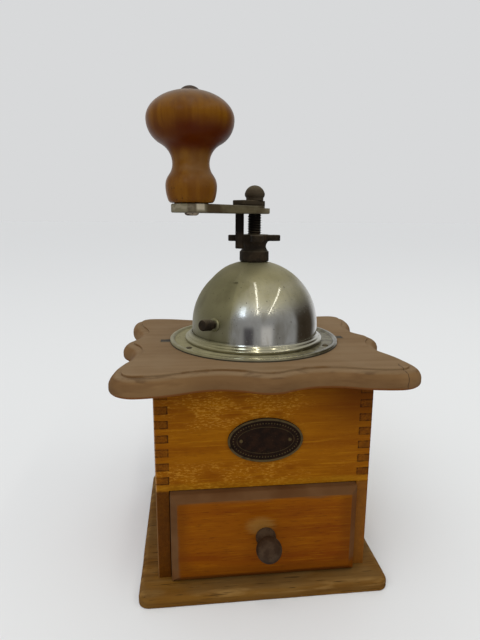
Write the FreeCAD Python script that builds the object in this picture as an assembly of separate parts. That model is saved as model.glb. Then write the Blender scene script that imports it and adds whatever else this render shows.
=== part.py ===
import FreeCAD, Part
import math
import os

from FreeCAD import Vector

# Clearances between pieces
running_clearance = 0.05
seat_clearance = 0.03
slide_clearance = 0.4
sheet_clearance = 0.3

# How far a cutting shape passes the face it cuts, and how near counts as level
overshoot = 1.0
level_tolerance = 0.001

# Case: a box of four finger-jointed boards between a base board and a top board
case_width = 116.0
case_depth = 102.0
case_corner_radius = 1.2
wall_thickness = 7.0
wall_height = 111.0
front_panel_height = 59.0
front_finger_count = 15
back_finger_count = 27

base_thickness = 7.0
base_overhang_side = 10.0
base_overhang_end = 14.0
base_corner_radius = 6.0
base_edge_radius = 3.5

board_overhang_side = 20.0
board_overhang_end = 21.0
board_thickness = 10.0
board_ear_radius = 13.5
board_notch_depth = 7.2
board_front_notch = 27.0
board_side_notch = 23.0
board_lobe_share = 0.36
board_step_width = 6.0
board_step_height = 1.2
board_top_round = 5.0
board_under_round = 2.2

# Wood screws and nails
base_screw_radius = 1.6
base_screw_head_radius = 3.4
base_screw_length = 20.0
base_screw_inset = 14.0
mill_screw_radius = 1.5
mill_screw_head_radius = 3.0
mill_screw_length = 7.5
screw_slot_width = 0.7
screw_slot_depth = 0.6
flange_nail_radius = 0.8
flange_nail_head_radius = 1.7
flange_nail_head_height = 0.7
flange_nail_length = 9.0
flange_nail_angles = (-31.0, 89.0, 209.0)

# Oval plate on the front panel
badge_width = 40.0
badge_height = 24.5
badge_centre_drop = 32.0
badge_thickness = 0.8
badge_rim_width = 1.1
badge_rim_height = 0.6
badge_bead_inset = 4.6
badge_bead_width = 0.5
badge_bead_height = 0.3
badge_pin_inset = 7.0
badge_pin_radius = 0.6
badge_pin_head_radius = 1.2
badge_pin_head_height = 0.7
badge_pin_length = 6.0

# Drawer
drawer_front_proud = 6.0
drawer_front_thickness = 12.0
drawer_front_round = 3.0
drawer_board = 5.0
drawer_bottom_thickness = 3.0
drawer_back_gap = 3.0
drawer_side_drop = 6.0
drawer_groove_height = 3.0
drawer_groove_depth = 2.5
drawer_knob_radius = 6.7
drawer_knob_neck_radius = 4.2
drawer_knob_foot_radius = 5.4
drawer_knob_foot_height = 3.2
drawer_knob_neck_height = 6.0
drawer_knob_cove = 0.6
drawer_knob_tenon_radius = 3.0

# Hopper: flange ring, dome and sliding door
flange_channel = 7.2
flange_sheet = 1.0
flange_lip_height = 2.2
flange_lip_width = 1.8
dome_sheet = 0.8
dome_skirt_height = 9.0
dome_bead_radius = 1.25
dome_step_height = 1.0
dome_step_width = 0.75
dome_cove_radius = 1.2
door_sheet = 0.8
door_overlap_angle = 5.0
opening_start_angle = 27.5
opening_end_angle = 130.0
opening_sill = 4.9
opening_head_height = 28.0
door_eye_radius = 12.5
door_knob_angle = 43.5
door_knob_height = 5.0
door_rosette_radius = 3.7
door_rosette_thickness = 1.2
door_knob_shank_radius = 1.4
door_knob_neck_radius = 2.2
door_knob_neck_length = 2.2
door_knob_head_radius = 3.1
door_knob_rib_depth = 0.45
door_knob_rib_length = 1.7
door_knob_rib_count = 4

# Bearing bush on the dome and the bridge below it
bush_stem_radius = 6.0
bush_collar_radius = 8.6
bush_collar_height = 6.0
bush_edge = 0.5
bush_nut_radius = 8.6
bush_nut_height = 3.5
bridge_width = 12.0
bridge_thickness = 2.5
bridge_clearance = 1.3
bridge_rim_margin = 0.2
bridge_foot_length = 8.0
bridge_boss_radius = 9.0
bridge_boss_drop = 1.5

# Grinding works under the board
housing_rim_radius = 35.0
housing_rim_thickness = 4.0
housing_depth = 43.0
housing_mouth_radius = 26.0
housing_wall = 4.0
housing_ledge_width = 2.0
housing_ledge_height = 2.0
housing_lug_show = 5.7
housing_lug_width = 6.5
housing_lug_thickness = 3.0
housing_screw_offset = 9.0
burr_ring_radius = 19.0
burr_ring_height = 22.0
burr_throat_height = 8.0
burr_gap = 0.7
burr_cone_foot_radius = 15.3
burr_cone_waist_radius = 13.0
burr_cone_top_radius = 6.8
burr_cone_height = 24.0
burr_flute_count = 10
burr_flute_radius = 1.5
burr_flute_skew = 24.0
burr_ring_flute_count = 14
burr_ring_flute_radius = 0.9
foot_bridge_width = 10.0
foot_bridge_thickness = 4.0
foot_bridge_margin = 1.5

# Spindle and its spring
spindle_radius = 4.0
spindle_foot_radius = 3.0
spindle_foot_length = 8.0
spindle_square = 6.6
spindle_top_radius = 3.2
spindle_nut_engagement = 5.5
thread_pitch = 1.4
thread_depth = 0.55
spring_wire_radius = 0.7
spring_coil_radius = 6.2
spring_length = 25.0
spring_turns = 8.0
spring_washer_radius = 8.0
spring_washer_thickness = 1.2
spindle_pin_radius = 1.25
spindle_pin_length = 13.0

# Adjusting wheel
wheel_hub_height = 5.5
wheel_hub_radius = 8.0
wheel_hub_waist_radius = 6.9
wheel_thickness = 4.0
wheel_disc_radius = 8.6
wheel_lug_reach = 15.4
wheel_lug_width = 7.0
wheel_lug_count = 4
wheel_edge = 0.4

# Crank arm, lock clip, cap nut and handle
crank_angle = 225.0
arm_length = 52.0
arm_gap = 11.7
arm_thickness = 4.3
arm_spindle_end_radius = 8.8
arm_handle_end_radius = 10.2
arm_edge = 0.7
arm_eye_step = 1.2
arm_eye_reach = 6.3
arm_washer_radius = 5.9
clip_gap = 0.3
clip_thickness = 2.8
clip_width = 8.6
clip_reach = 15.4
clip_tail = 5.0
clip_edge = 0.5
clip_leg_offset = 13.8
clip_leg_width = 4.8
clip_leg_thickness = 2.2
clip_leg_drop = 19.4
clip_leg_clearance = 0.3
nut_radius = 5.8
nut_neck_radius = 5.0
nut_neck_height = 1.6
nut_side_round = 2.8
nut_crown_flattening = 0.1
handle_foot_radius = 11.0
handle_bulge_radius = 12.7
handle_neck_radius = 9.1
handle_head_radius = 21.3
handle_bulge_height = 8.0
handle_neck_height = 18.5
handle_head_height = 38.7
handle_head_share = 0.46
handle_height = 51.5
handle_crown_radius = 5.2
handle_pin_radius = 2.5
handle_rivet_radius = 3.6
handle_rivet_height = 1.4
handle_cap_radius = 4.8
handle_cap_height = 2.3
handle_cap_seat = 0.3
handle_washer_radius = 8.5
handle_washer_thickness = 0.4
handle_end_play = 0.1

# Levels that follow from the sizes above
base_top = base_thickness
wall_top = base_top + wall_height
board_top = wall_top + board_thickness
front_y = -case_depth / 2
back_y = case_depth / 2
inner_half_width = case_width / 2 - wall_thickness
opening_top = wall_top - front_panel_height
board_width = case_width + 2 * board_overhang_side
board_depth = case_depth + 2 * board_overhang_end
bridge_radius = housing_rim_radius - bridge_rim_margin
door_inner_radius = bridge_radius + bridge_clearance
door_radius = door_inner_radius + door_sheet
dome_radius = door_radius + sheet_clearance + dome_sheet
dome_foot = board_top + flange_sheet
dome_centre = dome_foot + dome_skirt_height
dome_foot_radius = dome_radius + dome_cove_radius + dome_step_width + dome_bead_radius
flange_radius = dome_foot_radius + flange_channel + flange_lip_width
housing_lug_reach = flange_radius + housing_lug_show
housing_screw_reach = housing_rim_radius + housing_screw_offset
bush_hole_radius = bush_stem_radius + running_clearance
collar_bottom = dome_centre + math.sqrt(dome_radius ** 2 - bush_hole_radius ** 2)
collar_top = collar_bottom + bush_collar_height
wheel_bottom = collar_top + wheel_hub_height
wheel_top = wheel_bottom + wheel_thickness
arm_bottom = wheel_top + arm_gap
arm_top = arm_bottom + arm_thickness
arm_eye_top = arm_top - arm_eye_step
clip_bottom = arm_top + clip_gap
clip_top = clip_bottom + clip_thickness
spindle_top = clip_top + spindle_nut_engagement
housing_foot = board_top - housing_depth
burr_foot = housing_foot + housing_ledge_height
foot_bridge_bottom = housing_foot - foot_bridge_thickness
bridge_boss_bottom = dome_centre + bridge_radius - bridge_thickness - bridge_boss_drop
spring_top = bridge_boss_bottom - bush_nut_height
washer_bottom = spring_top - spring_length - spring_washer_thickness
handle_bottom = arm_top + handle_washer_thickness + handle_end_play


def block(x_range, y_range, z_range):
    """A box between two limits on each axis."""
    corner = Vector(x_range[0], y_range[0], z_range[0])
    size = (x_range[1] - x_range[0], y_range[1] - y_range[0], z_range[1] - z_range[0])
    return Part.makeBox(size[0], size[1], size[2], corner)


def rod(radius, bottom, top, x=0.0, y=0.0):
    """An upright cylinder between two heights."""
    return Part.makeCylinder(radius, top - bottom, Vector(x, y, bottom))


def outline_edges(start, steps, place):
    """Edges of a closed outline; a step is a point, an arc's middle and end point, or a made edge."""
    edges = []
    here = start
    for step in steps:
        if isinstance(step, Part.Shape):
            last = step.Vertexes[-1].Point
            there = (last.x, last.z)
            edges.append(step)
        elif isinstance(step[0], tuple):
            there = step[1]
            edges.append(Part.Arc(place(here), place(step[0]), place(there)).toShape())
        else:
            there = step
            edges.append(Part.LineSegment(place(here), place(there)).toShape())
        here = there
    if math.dist(here, start) > level_tolerance:
        edges.append(Part.LineSegment(place(here), place(start)).toShape())
    return edges


def upright(point):
    """A radius and a height, as a point of the XZ plane."""
    return Vector(point[0], 0, point[1])


def section(start, steps):
    """A face in the XZ plane."""
    return Part.Face(Part.Wire(outline_edges(start, steps, upright)))


def turned(start, steps, first_angle=0.0, sweep=360.0):
    """A solid turned about the Z axis from its section."""
    face = section(start, steps)
    face.rotate(Vector(0, 0, 0), Vector(0, 0, 1), first_angle)
    return face.revolve(Vector(0, 0, 0), Vector(0, 0, 1), sweep)


def on_circle(centre, radius, degrees):
    """A point on a circle of a section."""
    angle = math.radians(degrees)
    return (centre[0] + radius * math.cos(angle), centre[1] + radius * math.sin(angle))


def arc_step(centre, radius, first, last):
    """An arc of a section, as a middle and an end point."""
    return (on_circle(centre, radius, (first + last) / 2), on_circle(centre, radius, last))


def cap_step(radius, low, height):
    """A shallow dome from its rim to its crown on the axis."""
    ball = (radius ** 2 + height ** 2) / (2 * height)
    rim = math.degrees(math.acos(radius / ball))
    return arc_step((0, low + height - ball), ball, rim, 90)


def ellipse_step(level, half_width, half_height, first_height, last_height):
    """An edge on an ellipse about the axis, between two heights above its middle."""
    middle = Vector(0, 0, level)
    side = Vector(half_width, 0, 0)
    crown = Vector(0, 0, half_height)
    ellipse = Part.Ellipse(middle + side, middle + crown, middle)
    turn = 0.0
    if half_height > half_width:
        ellipse = Part.Ellipse(middle + crown, middle - side, middle)
        turn = math.pi / 2
    first = math.asin(first_height / half_height) - turn
    last = math.asin(last_height / half_height) - turn
    return Part.ArcOfEllipse(ellipse, first, last).toShape()


def s_curve(start, end, share=0.5):
    """Two tangent arcs between points where the curve runs along the first coordinate."""
    run = end[0] - start[0]
    rise = end[1] - start[1]
    whole = (run ** 2 + rise ** 2) / (2 * abs(rise))
    half = math.atan2(abs(rise), abs(run))
    along = math.copysign(math.sin(half), run)
    across = math.copysign(1 - math.cos(half), rise)
    first = share * whole
    second = (1 - share) * whole
    middle = (start[0] + share * run, start[1] + share * rise)
    early = (start[0] + first * along, start[1] + first * across)
    late = (end[0] - second * along, end[1] - second * across)
    return [(early, middle), (late, end)]


def round_edges(shape, radius, wanted):
    """Fillets on the edges that a test picks by their middle point."""
    picked = [edge for edge in shape.Edges if wanted(edge.CenterOfMass)]
    return shape.makeFillet(radius, picked)


def left_of_front(degrees):
    """The turn about Z of a place given as degrees to the left of the front."""
    return 270.0 - degrees


def turned_about_z(shape, degrees):
    """A copy turned about the spindle's axis."""
    copy = shape.copy()
    copy.rotate(Vector(0, 0, 0), Vector(0, 0, 1), degrees)
    return copy


def countersunk_screw(radius, head_radius, length, clearance=0.0):
    """A wood screw with its head's face at zero, pointing up, or the hole for it."""
    shank = radius + clearance
    head = head_radius + clearance
    head_depth = head - shank
    tip = length + clearance
    body = turned((0, 0), [(head, 0), (shank, head_depth), (shank, length - shank), (0, tip)])
    if clearance:
        return body
    slot = block((-head, head), (-screw_slot_width / 2, screw_slot_width / 2), (0, screw_slot_depth))
    return body.cut(slot)


def place_at(shape, x, y, z, flip=False):
    """A copy moved to a place, head up if flipped."""
    copy = shape.copy()
    if flip:
        copy.rotate(Vector(0, 0, 0), Vector(1, 0, 0), 180)
    copy.translate(Vector(x, y, z))
    return copy


def finger_bands(bottom, top, count):
    """The heights of the fingers of a joint, from the bottom up."""
    pitch = (top - bottom) / count
    return [(bottom + i * pitch, bottom + (i + 1) * pitch) for i in range(count)]


# Base board
base_half_width = case_width / 2 + base_overhang_side
base_half_depth = case_depth / 2 + base_overhang_end
base_screw_places = [
    (x * (case_width - wall_thickness) / 2, y * (case_depth / 2 - base_screw_inset))
    for x in (-1, 1)
    for y in (-1, 1)
]


def base_screw_set(clearance=0.0):
    """The four base screws, or the holes for them."""
    screw = countersunk_screw(base_screw_radius, base_screw_head_radius, base_screw_length, clearance)
    return [place_at(screw, x, y, screw_slot_depth) for x, y in base_screw_places]


def make_base_board():
    board = block(
        (-base_half_width, base_half_width), (-base_half_depth, base_half_depth), (0, base_thickness)
    )
    half = base_thickness / 2
    board = round_edges(board, base_corner_radius, lambda middle: abs(middle.z - half) < level_tolerance)
    near_top = base_thickness - level_tolerance
    board = round_edges(board, base_edge_radius, lambda middle: middle.z > near_top)
    head_hole = base_screw_head_radius + seat_clearance
    heads = [rod(head_hole, -overshoot, screw_slot_depth, x, y) for x, y in base_screw_places]
    return board.cut(base_screw_set(seat_clearance) + heads)


# Case walls: fingers of odd number belong to the side walls, the others to the front and back
front_bands = finger_bands(opening_top, wall_top, front_finger_count)
back_bands = finger_bands(base_top, wall_top, back_finger_count)
case_body = round_edges(
    block((-case_width / 2, case_width / 2), (front_y, back_y), (base_top, wall_top)),
    case_corner_radius,
    lambda middle: abs(middle.z - (base_top + wall_top) / 2) < level_tolerance,
)


def make_side_wall(side):
    outer = side * case_width / 2
    inner = side * inner_half_width
    x_range = (min(outer, inner), max(outer, inner))
    wall = block(x_range, (front_y, back_y), (base_top, wall_top))
    cuts = [block(x_range, (front_y, front_y + wall_thickness), band) for band in front_bands[0::2]]
    cuts += [block(x_range, (back_y - wall_thickness, back_y), band) for band in back_bands[0::2]]
    return wall.cut(cuts + base_screw_set(seat_clearance)).common(case_body)


def make_cross_wall(y_range, bands):
    panel = block((-case_width / 2, case_width / 2), y_range, (bands[0][0], bands[-1][1]))
    cuts = []
    for band in bands[1::2]:
        cuts.append(block((-case_width / 2, -inner_half_width), y_range, band))
        cuts.append(block((inner_half_width, case_width / 2), y_range, band))
    return panel.cut(cuts).common(case_body)


# Oval plate and its pins, on the front panel
badge_z = wall_top - badge_centre_drop
badge_pin_x = badge_width / 2 - badge_pin_inset


def oval(width, height, back, front):
    """An upright oval disc facing the front, between two distances ahead of the panel."""
    ellipse = Part.Ellipse(Vector(0, 0, 0), width / 2, height / 2).toShape()
    disc = Part.Face(Part.Wire(ellipse)).extrude(Vector(0, 0, front - back))
    disc.rotate(Vector(0, 0, 0), Vector(1, 0, 0), 90)
    disc.translate(Vector(0, front_y - back, badge_z))
    return disc


def badge_pin(x, clearance=0.0):
    """One pin of the plate, or the hole for it."""
    shank = badge_pin_radius + clearance
    edge = badge_pin_head_radius
    low = badge_thickness
    tip = low - badge_pin_length
    head = cap_step(edge, low, badge_pin_head_height)
    pin = turned((0, tip), [(shank, tip), (shank, low), (edge, low), head])
    pin.rotate(Vector(0, 0, 0), Vector(1, 0, 0), 90)
    pin.translate(Vector(x, front_y, badge_z))
    return pin


def oval_ring(inset, ring_width, height):
    """A raised ring on the plate, a distance in from its edge."""
    width = badge_width - 2 * inset
    tall = badge_height - 2 * inset
    top = badge_thickness + height
    ring = oval(width, tall, badge_thickness, top)
    return ring.cut(oval(width - 2 * ring_width, tall - 2 * ring_width, 0, top + overshoot))


def make_badge_plate():
    plate = oval(badge_width, badge_height, 0, badge_thickness)
    rim = oval_ring(0, badge_rim_width, badge_rim_height)
    bead = oval_ring(badge_bead_inset, badge_bead_width, badge_bead_height)
    plate = plate.fuse([rim, bead]).removeSplitter()
    return plate.cut([badge_pin(x, seat_clearance) for x in (-badge_pin_x, badge_pin_x)])


def make_front_panel():
    panel = make_cross_wall((front_y, front_y + wall_thickness), front_bands)
    return panel.cut([badge_pin(x, seat_clearance) for x in (-badge_pin_x, badge_pin_x)])


# Top board: a scalloped slab with a rounded edge and a raised field inside a small step
def board_outline():
    half_width = board_width / 2
    half_depth = board_depth / 2
    sides = [
        (half_width, half_depth, board_front_notch, lambda p: Vector(p[0], -p[1], 0)),
        (half_depth, half_width, board_side_notch, lambda p: Vector(p[1], p[0], 0)),
        (half_width, half_depth, board_front_notch, lambda p: Vector(-p[0], p[1], 0)),
        (half_depth, half_width, board_side_notch, lambda p: Vector(-p[1], -p[0], 0)),
    ]
    edges = []
    for half_length, reach, notch, place in sides:
        ear = half_length - board_ear_radius
        valley = reach - board_notch_depth
        steps = s_curve((-ear, reach), (-notch, valley), 1 - board_lobe_share)
        steps += s_curve((-notch, valley), (0, reach), 1 - board_lobe_share)
        steps += s_curve((0, reach), (notch, valley), board_lobe_share)
        steps += s_curve((notch, valley), (ear, reach), board_lobe_share)
        steps.append(arc_step((ear, reach - board_ear_radius), board_ear_radius, 90, 0))
        here = (-ear, reach)
        for middle, there in steps:
            edges.append(Part.Arc(place(here), place(middle), place(there)).toShape())
            here = there
    return Part.Wire(edges)


def housing_lugs(clearance=0.0):
    """The two lugs of the housing, or the slots in the board for them."""
    reach = housing_lug_reach + clearance
    half = housing_lug_width / 2 + clearance
    low = board_top - housing_lug_thickness - clearance
    bar = block((-reach, reach), (-half, half), (low, board_top))
    return bar.cut(rod(housing_rim_radius - housing_wall, low, board_top))


def housing_screw_set(clearance=0.0):
    """The two screws through the housing's lugs, or the holes for them."""
    screw = countersunk_screw(mill_screw_radius, mill_screw_head_radius, mill_screw_length, clearance)
    return [place_at(screw, side * housing_screw_reach, 0, board_top, True) for side in (-1, 1)]


def flange_nail_set(clearance=0.0):
    """The nails of the flange, or the holes for them."""
    seat = dome_foot
    shank = flange_nail_radius + clearance
    edge = flange_nail_head_radius
    middle_radius = (dome_foot_radius + flange_radius - flange_lip_width) / 2
    tip = seat - flange_nail_length
    head = cap_step(edge, seat, flange_nail_head_height)
    nail = turned((0, tip), [(shank, tip + shank), (shank, seat), (edge, seat), head])
    nail.translate(Vector(middle_radius, 0, 0))
    return [turned_about_z(nail, angle) for angle in flange_nail_angles]


def make_top_board():
    wire = board_outline()
    wire.translate(Vector(0, 0, wall_top))
    slab_height = board_thickness - board_step_height
    slab_top = wall_top + slab_height
    slab = Part.Face(wire).extrude(Vector(0, 0, slab_height))
    slab = round_edges(slab, board_top_round, lambda middle: middle.z > slab_top - level_tolerance)
    slab = round_edges(slab, board_under_round, lambda middle: middle.z < wall_top + level_tolerance)
    field_wire = wire.makeOffset2D(-board_step_width)
    field = Part.Face(field_wire).extrude(Vector(0, 0, board_thickness))
    board = slab.fuse(field).removeSplitter()
    hole = rod(housing_rim_radius + seat_clearance, wall_top - overshoot, board_top + overshoot)
    cuts = [hole, housing_lugs(seat_clearance)]
    return board.cut(cuts + housing_screw_set(seat_clearance) + flange_nail_set(seat_clearance))


# Hopper flange: a sheet ring with a raised lip
def make_hopper_flange():
    low = board_top
    high = low + flange_sheet
    lip = low + flange_lip_height
    crest = flange_radius - flange_lip_width / 2
    ring = turned(
        (door_inner_radius, low),
        [
            (flange_radius, low),
            (flange_radius, lip - flange_lip_width / 2),
            arc_step((crest, lip - flange_lip_width / 2), flange_lip_width / 2, 0, 90),
            (crest - flange_lip_width, high),
            (door_inner_radius, high),
        ],
    )
    return ring.cut(flange_nail_set(seat_clearance))


# Dome: rolled bead, step and cove at the foot, skirt and half sphere, with the filling opening
def make_hopper_dome():
    inner = dome_radius - dome_sheet
    bead_centre = (dome_foot_radius - dome_bead_radius, dome_foot + dome_bead_radius)
    bead_top = dome_foot + 2 * dome_bead_radius
    step_top = bead_top + dome_step_height
    cove_centre = (dome_radius + dome_cove_radius, step_top + dome_cove_radius)
    centre = (0, dome_centre)
    hole_outer = math.degrees(math.acos(bush_hole_radius / dome_radius))
    hole_inner = math.degrees(math.acos(bush_hole_radius / inner))
    shell = turned(
        (inner, dome_foot),
        [
            (bead_centre[0], dome_foot),
            arc_step(bead_centre, dome_bead_radius, -90, 90),
            (dome_radius + dome_cove_radius, step_top),
            arc_step(cove_centre, dome_cove_radius, 270, 180),
            (dome_radius, dome_centre),
            arc_step(centre, dome_radius, 0, hole_outer),
            on_circle(centre, inner, hole_inner),
            arc_step(centre, inner, hole_inner, 0),
        ],
    )
    reach = dome_foot_radius
    sill = dome_foot + opening_sill
    head = dome_centre + opening_head_height
    window = turned(
        (0, sill),
        [(reach, sill), (reach, head), (0, head)],
        left_of_front(opening_end_angle),
        opening_end_angle - opening_start_angle,
    )
    return shell.cut(window)


# Sliding door inside the dome, with an eye round the bush
def door_band(top_radius, bottom_radius, first_angle, sweep):
    """A strip of the door between two radii, down to the flange where it reaches the skirt."""
    centre = (0, dome_centre)
    high_outer = math.degrees(math.acos(top_radius / door_radius))
    high_inner = math.degrees(math.acos(top_radius / door_inner_radius))
    if bottom_radius:
        low_outer = math.degrees(math.acos(bottom_radius / door_radius))
        low_inner = math.degrees(math.acos(bottom_radius / door_inner_radius))
        start = on_circle(centre, door_inner_radius, low_inner)
        foot = [on_circle(centre, door_radius, low_outer)]
        foot_end = []
    else:
        low_outer = 0
        low_inner = 0
        hem = dome_foot + sheet_clearance
        start = (door_inner_radius, hem)
        foot = [(door_radius, hem), (door_radius, dome_centre)]
        foot_end = [start]
    steps = foot + [
        arc_step(centre, door_radius, low_outer, high_outer),
        on_circle(centre, door_inner_radius, high_inner),
        arc_step(centre, door_inner_radius, high_inner, low_inner),
    ]
    return turned(start, steps + foot_end, first_angle, sweep)


def along_door_knob(shape):
    """A shape turned about Z, laid along the knob's axis, square to the door, with zero at its surface."""
    rise = math.asin(door_knob_height / door_radius)
    shape.translate(Vector(0, 0, door_radius))
    shape.rotate(Vector(0, 0, 0), Vector(0, 1, 0), 90 - math.degrees(rise))
    shape.translate(Vector(0, 0, dome_centre))
    shape.rotate(Vector(0, 0, 0), Vector(0, 0, 1), left_of_front(door_knob_angle))
    return shape


def door_shank(clearance):
    """The hole for the knob's shank."""
    tail = 2 * door_sheet + door_rosette_thickness
    return along_door_knob(rod(door_knob_shank_radius + clearance, -tail, door_rosette_thickness))


def make_hopper_door():
    eye_hole = bush_stem_radius + sheet_clearance
    first = left_of_front(opening_end_angle + door_overlap_angle)
    sweep = opening_end_angle - opening_start_angle + 2 * door_overlap_angle
    leaf = door_band(eye_hole, 0, first, sweep)
    eye = door_band(eye_hole, door_eye_radius, 0, 360)
    return leaf.fuse(eye).removeSplitter().cut(door_shank(seat_clearance))


def make_door_rosette():
    disc = turned(
        (0, 0),
        [
            (door_rosette_radius, 0),
            (door_rosette_radius, door_rosette_thickness / 2),
            (door_rosette_radius - door_rosette_thickness / 2, door_rosette_thickness),
            (0, door_rosette_thickness),
        ],
    )
    return along_door_knob(disc).cut(door_shank(seat_clearance))


def make_door_knob():
    low = door_rosette_thickness
    head = low + door_knob_neck_length
    tail = -2 * door_sheet
    groove = door_knob_head_radius - door_knob_rib_depth
    steps = [
        (door_knob_shank_radius, tail),
        (door_knob_shank_radius, low),
        (door_knob_neck_radius, low),
        (door_knob_neck_radius, head),
        (groove, head),
    ]
    for rib in range(door_knob_rib_count):
        foot = head + rib * door_knob_rib_length
        crest = (door_knob_head_radius, foot + door_knob_rib_length / 2)
        steps.append((crest, (groove, foot + door_knob_rib_length)))
    steps.append((0, head + door_knob_rib_count * door_knob_rib_length))
    return along_door_knob(turned((0, tail), steps))


# Bearing bush: a collar on the dome and a stem through dome, door and bridge, held by a nut
def make_bearing_bush():
    bore = spindle_radius + running_clearance
    return turned(
        (bore, spring_top),
        [
            (bush_stem_radius, spring_top),
            (bush_stem_radius, collar_bottom),
            (bush_collar_radius - bush_edge, collar_bottom),
            (bush_collar_radius, collar_bottom + bush_edge),
            (bush_collar_radius, collar_top - bush_edge),
            (bush_collar_radius - bush_edge, collar_top),
            (bore, collar_top),
        ],
    )


def make_bush_nut():
    bore = bush_stem_radius + seat_clearance
    edge = bush_nut_radius
    high = bridge_boss_bottom
    return turned((bore, spring_top), [(edge, spring_top), (edge, high), (bore, high)])


# Bearing bridge: an arched strap across the dome, standing on the housing's rim
bridge_screw_y = bridge_radius - bridge_foot_length / 2 - bridge_thickness / 2


def bridge_screw_set(clearance=0.0):
    """The two screws through the bridge's feet, or the holes for them."""
    length = mill_screw_length - bridge_thickness
    screw = countersunk_screw(mill_screw_radius, mill_screw_head_radius, length, clearance)
    top = board_top + bridge_thickness
    return [place_at(screw, 0, y, top, True) for y in (-bridge_screw_y, bridge_screw_y)]


def make_bearing_bridge():
    inner = bridge_radius - bridge_thickness
    toe = bridge_radius - bridge_foot_length - bridge_thickness
    low = board_top
    foot = board_top + bridge_thickness
    centre = (0, dome_centre)
    strap = section(
        (bridge_radius, low),
        [
            (bridge_radius, dome_centre),
            arc_step(centre, bridge_radius, 0, 180),
            (-bridge_radius, low),
            (-toe, low),
            (-toe, foot),
            (-inner, foot),
            (-inner, dome_centre),
            arc_step(centre, inner, 180, 0),
            (inner, foot),
            (toe, foot),
            (toe, low),
        ],
    )
    strap = strap.extrude(Vector(0, bridge_width, 0))
    strap.translate(Vector(0, -bridge_width / 2, 0))
    strap.rotate(Vector(0, 0, 0), Vector(0, 0, 1), 90)
    boss_top = dome_centre + math.sqrt(bridge_radius ** 2 - bridge_boss_radius ** 2)
    strap = strap.fuse(rod(bridge_boss_radius, bridge_boss_bottom, boss_top)).removeSplitter()
    bore = bush_stem_radius + seat_clearance
    hole = rod(bore, bridge_boss_bottom - overshoot, dome_centre + dome_radius)
    return strap.cut([hole] + bridge_screw_set(seat_clearance))


# Burr housing: a cast cup with a rim in the board's hole and two lugs let into the board
housing_bore = burr_ring_radius + seat_clearance
housing_outer = housing_bore + housing_wall
foot_screw_reach = housing_bore + housing_wall / 2


def foot_screw_set(clearance=0.0):
    """The two screws of the bar under the housing, or the holes for them."""
    screw = countersunk_screw(mill_screw_radius, mill_screw_head_radius, mill_screw_length, clearance)
    return [place_at(screw, side * foot_screw_reach, 0, foot_bridge_bottom) for side in (-1, 1)]


def make_burr_housing():
    ring_top = burr_foot + burr_ring_height
    rim_low = board_top - housing_rim_thickness
    ledge = housing_bore - housing_ledge_width
    cup = turned(
        (ledge, housing_foot),
        [
            (housing_outer, housing_foot),
            (housing_outer, ring_top),
            (housing_mouth_radius + housing_wall, rim_low),
            (housing_rim_radius, rim_low),
            (housing_rim_radius, board_top),
            (housing_mouth_radius, board_top),
            (housing_bore, ring_top),
            (housing_bore, burr_foot),
            (ledge, burr_foot),
        ],
    )
    cup = cup.fuse(housing_lugs()).removeSplitter()
    holes = housing_screw_set(seat_clearance) + bridge_screw_set(seat_clearance)
    return cup.cut(holes + foot_screw_set(seat_clearance))


# Burrs: the cone is widest at its foot, and the ring narrows to a throat just above it
def flutes(start, end, radius, count):
    """Round grooves along a cone, from one radius and height to another, skewed round the axis."""
    skew = math.radians(burr_flute_skew)
    foot = Vector(start[0], 0, start[1])
    head = Vector(end[0] * math.cos(skew), end[0] * math.sin(skew), end[1])
    groove = Part.makeCylinder(radius, (head - foot).Length, foot, head - foot)
    return [turned_about_z(groove, i * 360.0 / count) for i in range(count)]


def make_outer_burr():
    low = burr_foot
    throat = low + burr_throat_height
    top = low + burr_ring_height
    foot_radius = burr_cone_foot_radius + burr_gap
    throat_radius = burr_cone_waist_radius + burr_gap
    mouth_radius = housing_bore - housing_ledge_width
    ring = turned(
        (foot_radius, low),
        [(burr_ring_radius, low), (burr_ring_radius, top), (mouth_radius, top), (throat_radius, throat)],
    )
    groove_start = (throat_radius, throat)
    groove_end = (mouth_radius + burr_gap, top + overshoot)
    return ring.cut(flutes(groove_start, groove_end, burr_ring_flute_radius, burr_ring_flute_count))


def make_cone_burr():
    low = burr_foot
    waist = low + burr_throat_height
    top = low + burr_cone_height
    bore = spindle_radius + seat_clearance
    cone = turned(
        (bore, low),
        [
            (burr_cone_foot_radius, low),
            (burr_cone_waist_radius, waist),
            (burr_cone_top_radius, top),
            (bore, top),
        ],
    )
    grooves = flutes(
        (burr_cone_foot_radius + burr_flute_radius / 2, low - overshoot),
        (burr_cone_top_radius + burr_flute_radius / 2, top + overshoot),
        burr_flute_radius,
        burr_flute_count,
    )
    return cone.cut(grooves)


def make_foot_bridge():
    reach = foot_screw_reach + mill_screw_head_radius + foot_bridge_margin
    half = foot_bridge_width / 2
    bar = block((-reach, reach), (-half, half), (foot_bridge_bottom, housing_foot))
    bore = spindle_foot_radius + running_clearance
    hole = rod(bore, foot_bridge_bottom - overshoot, housing_foot + overshoot)
    return bar.cut([hole] + foot_screw_set(seat_clearance))


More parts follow.
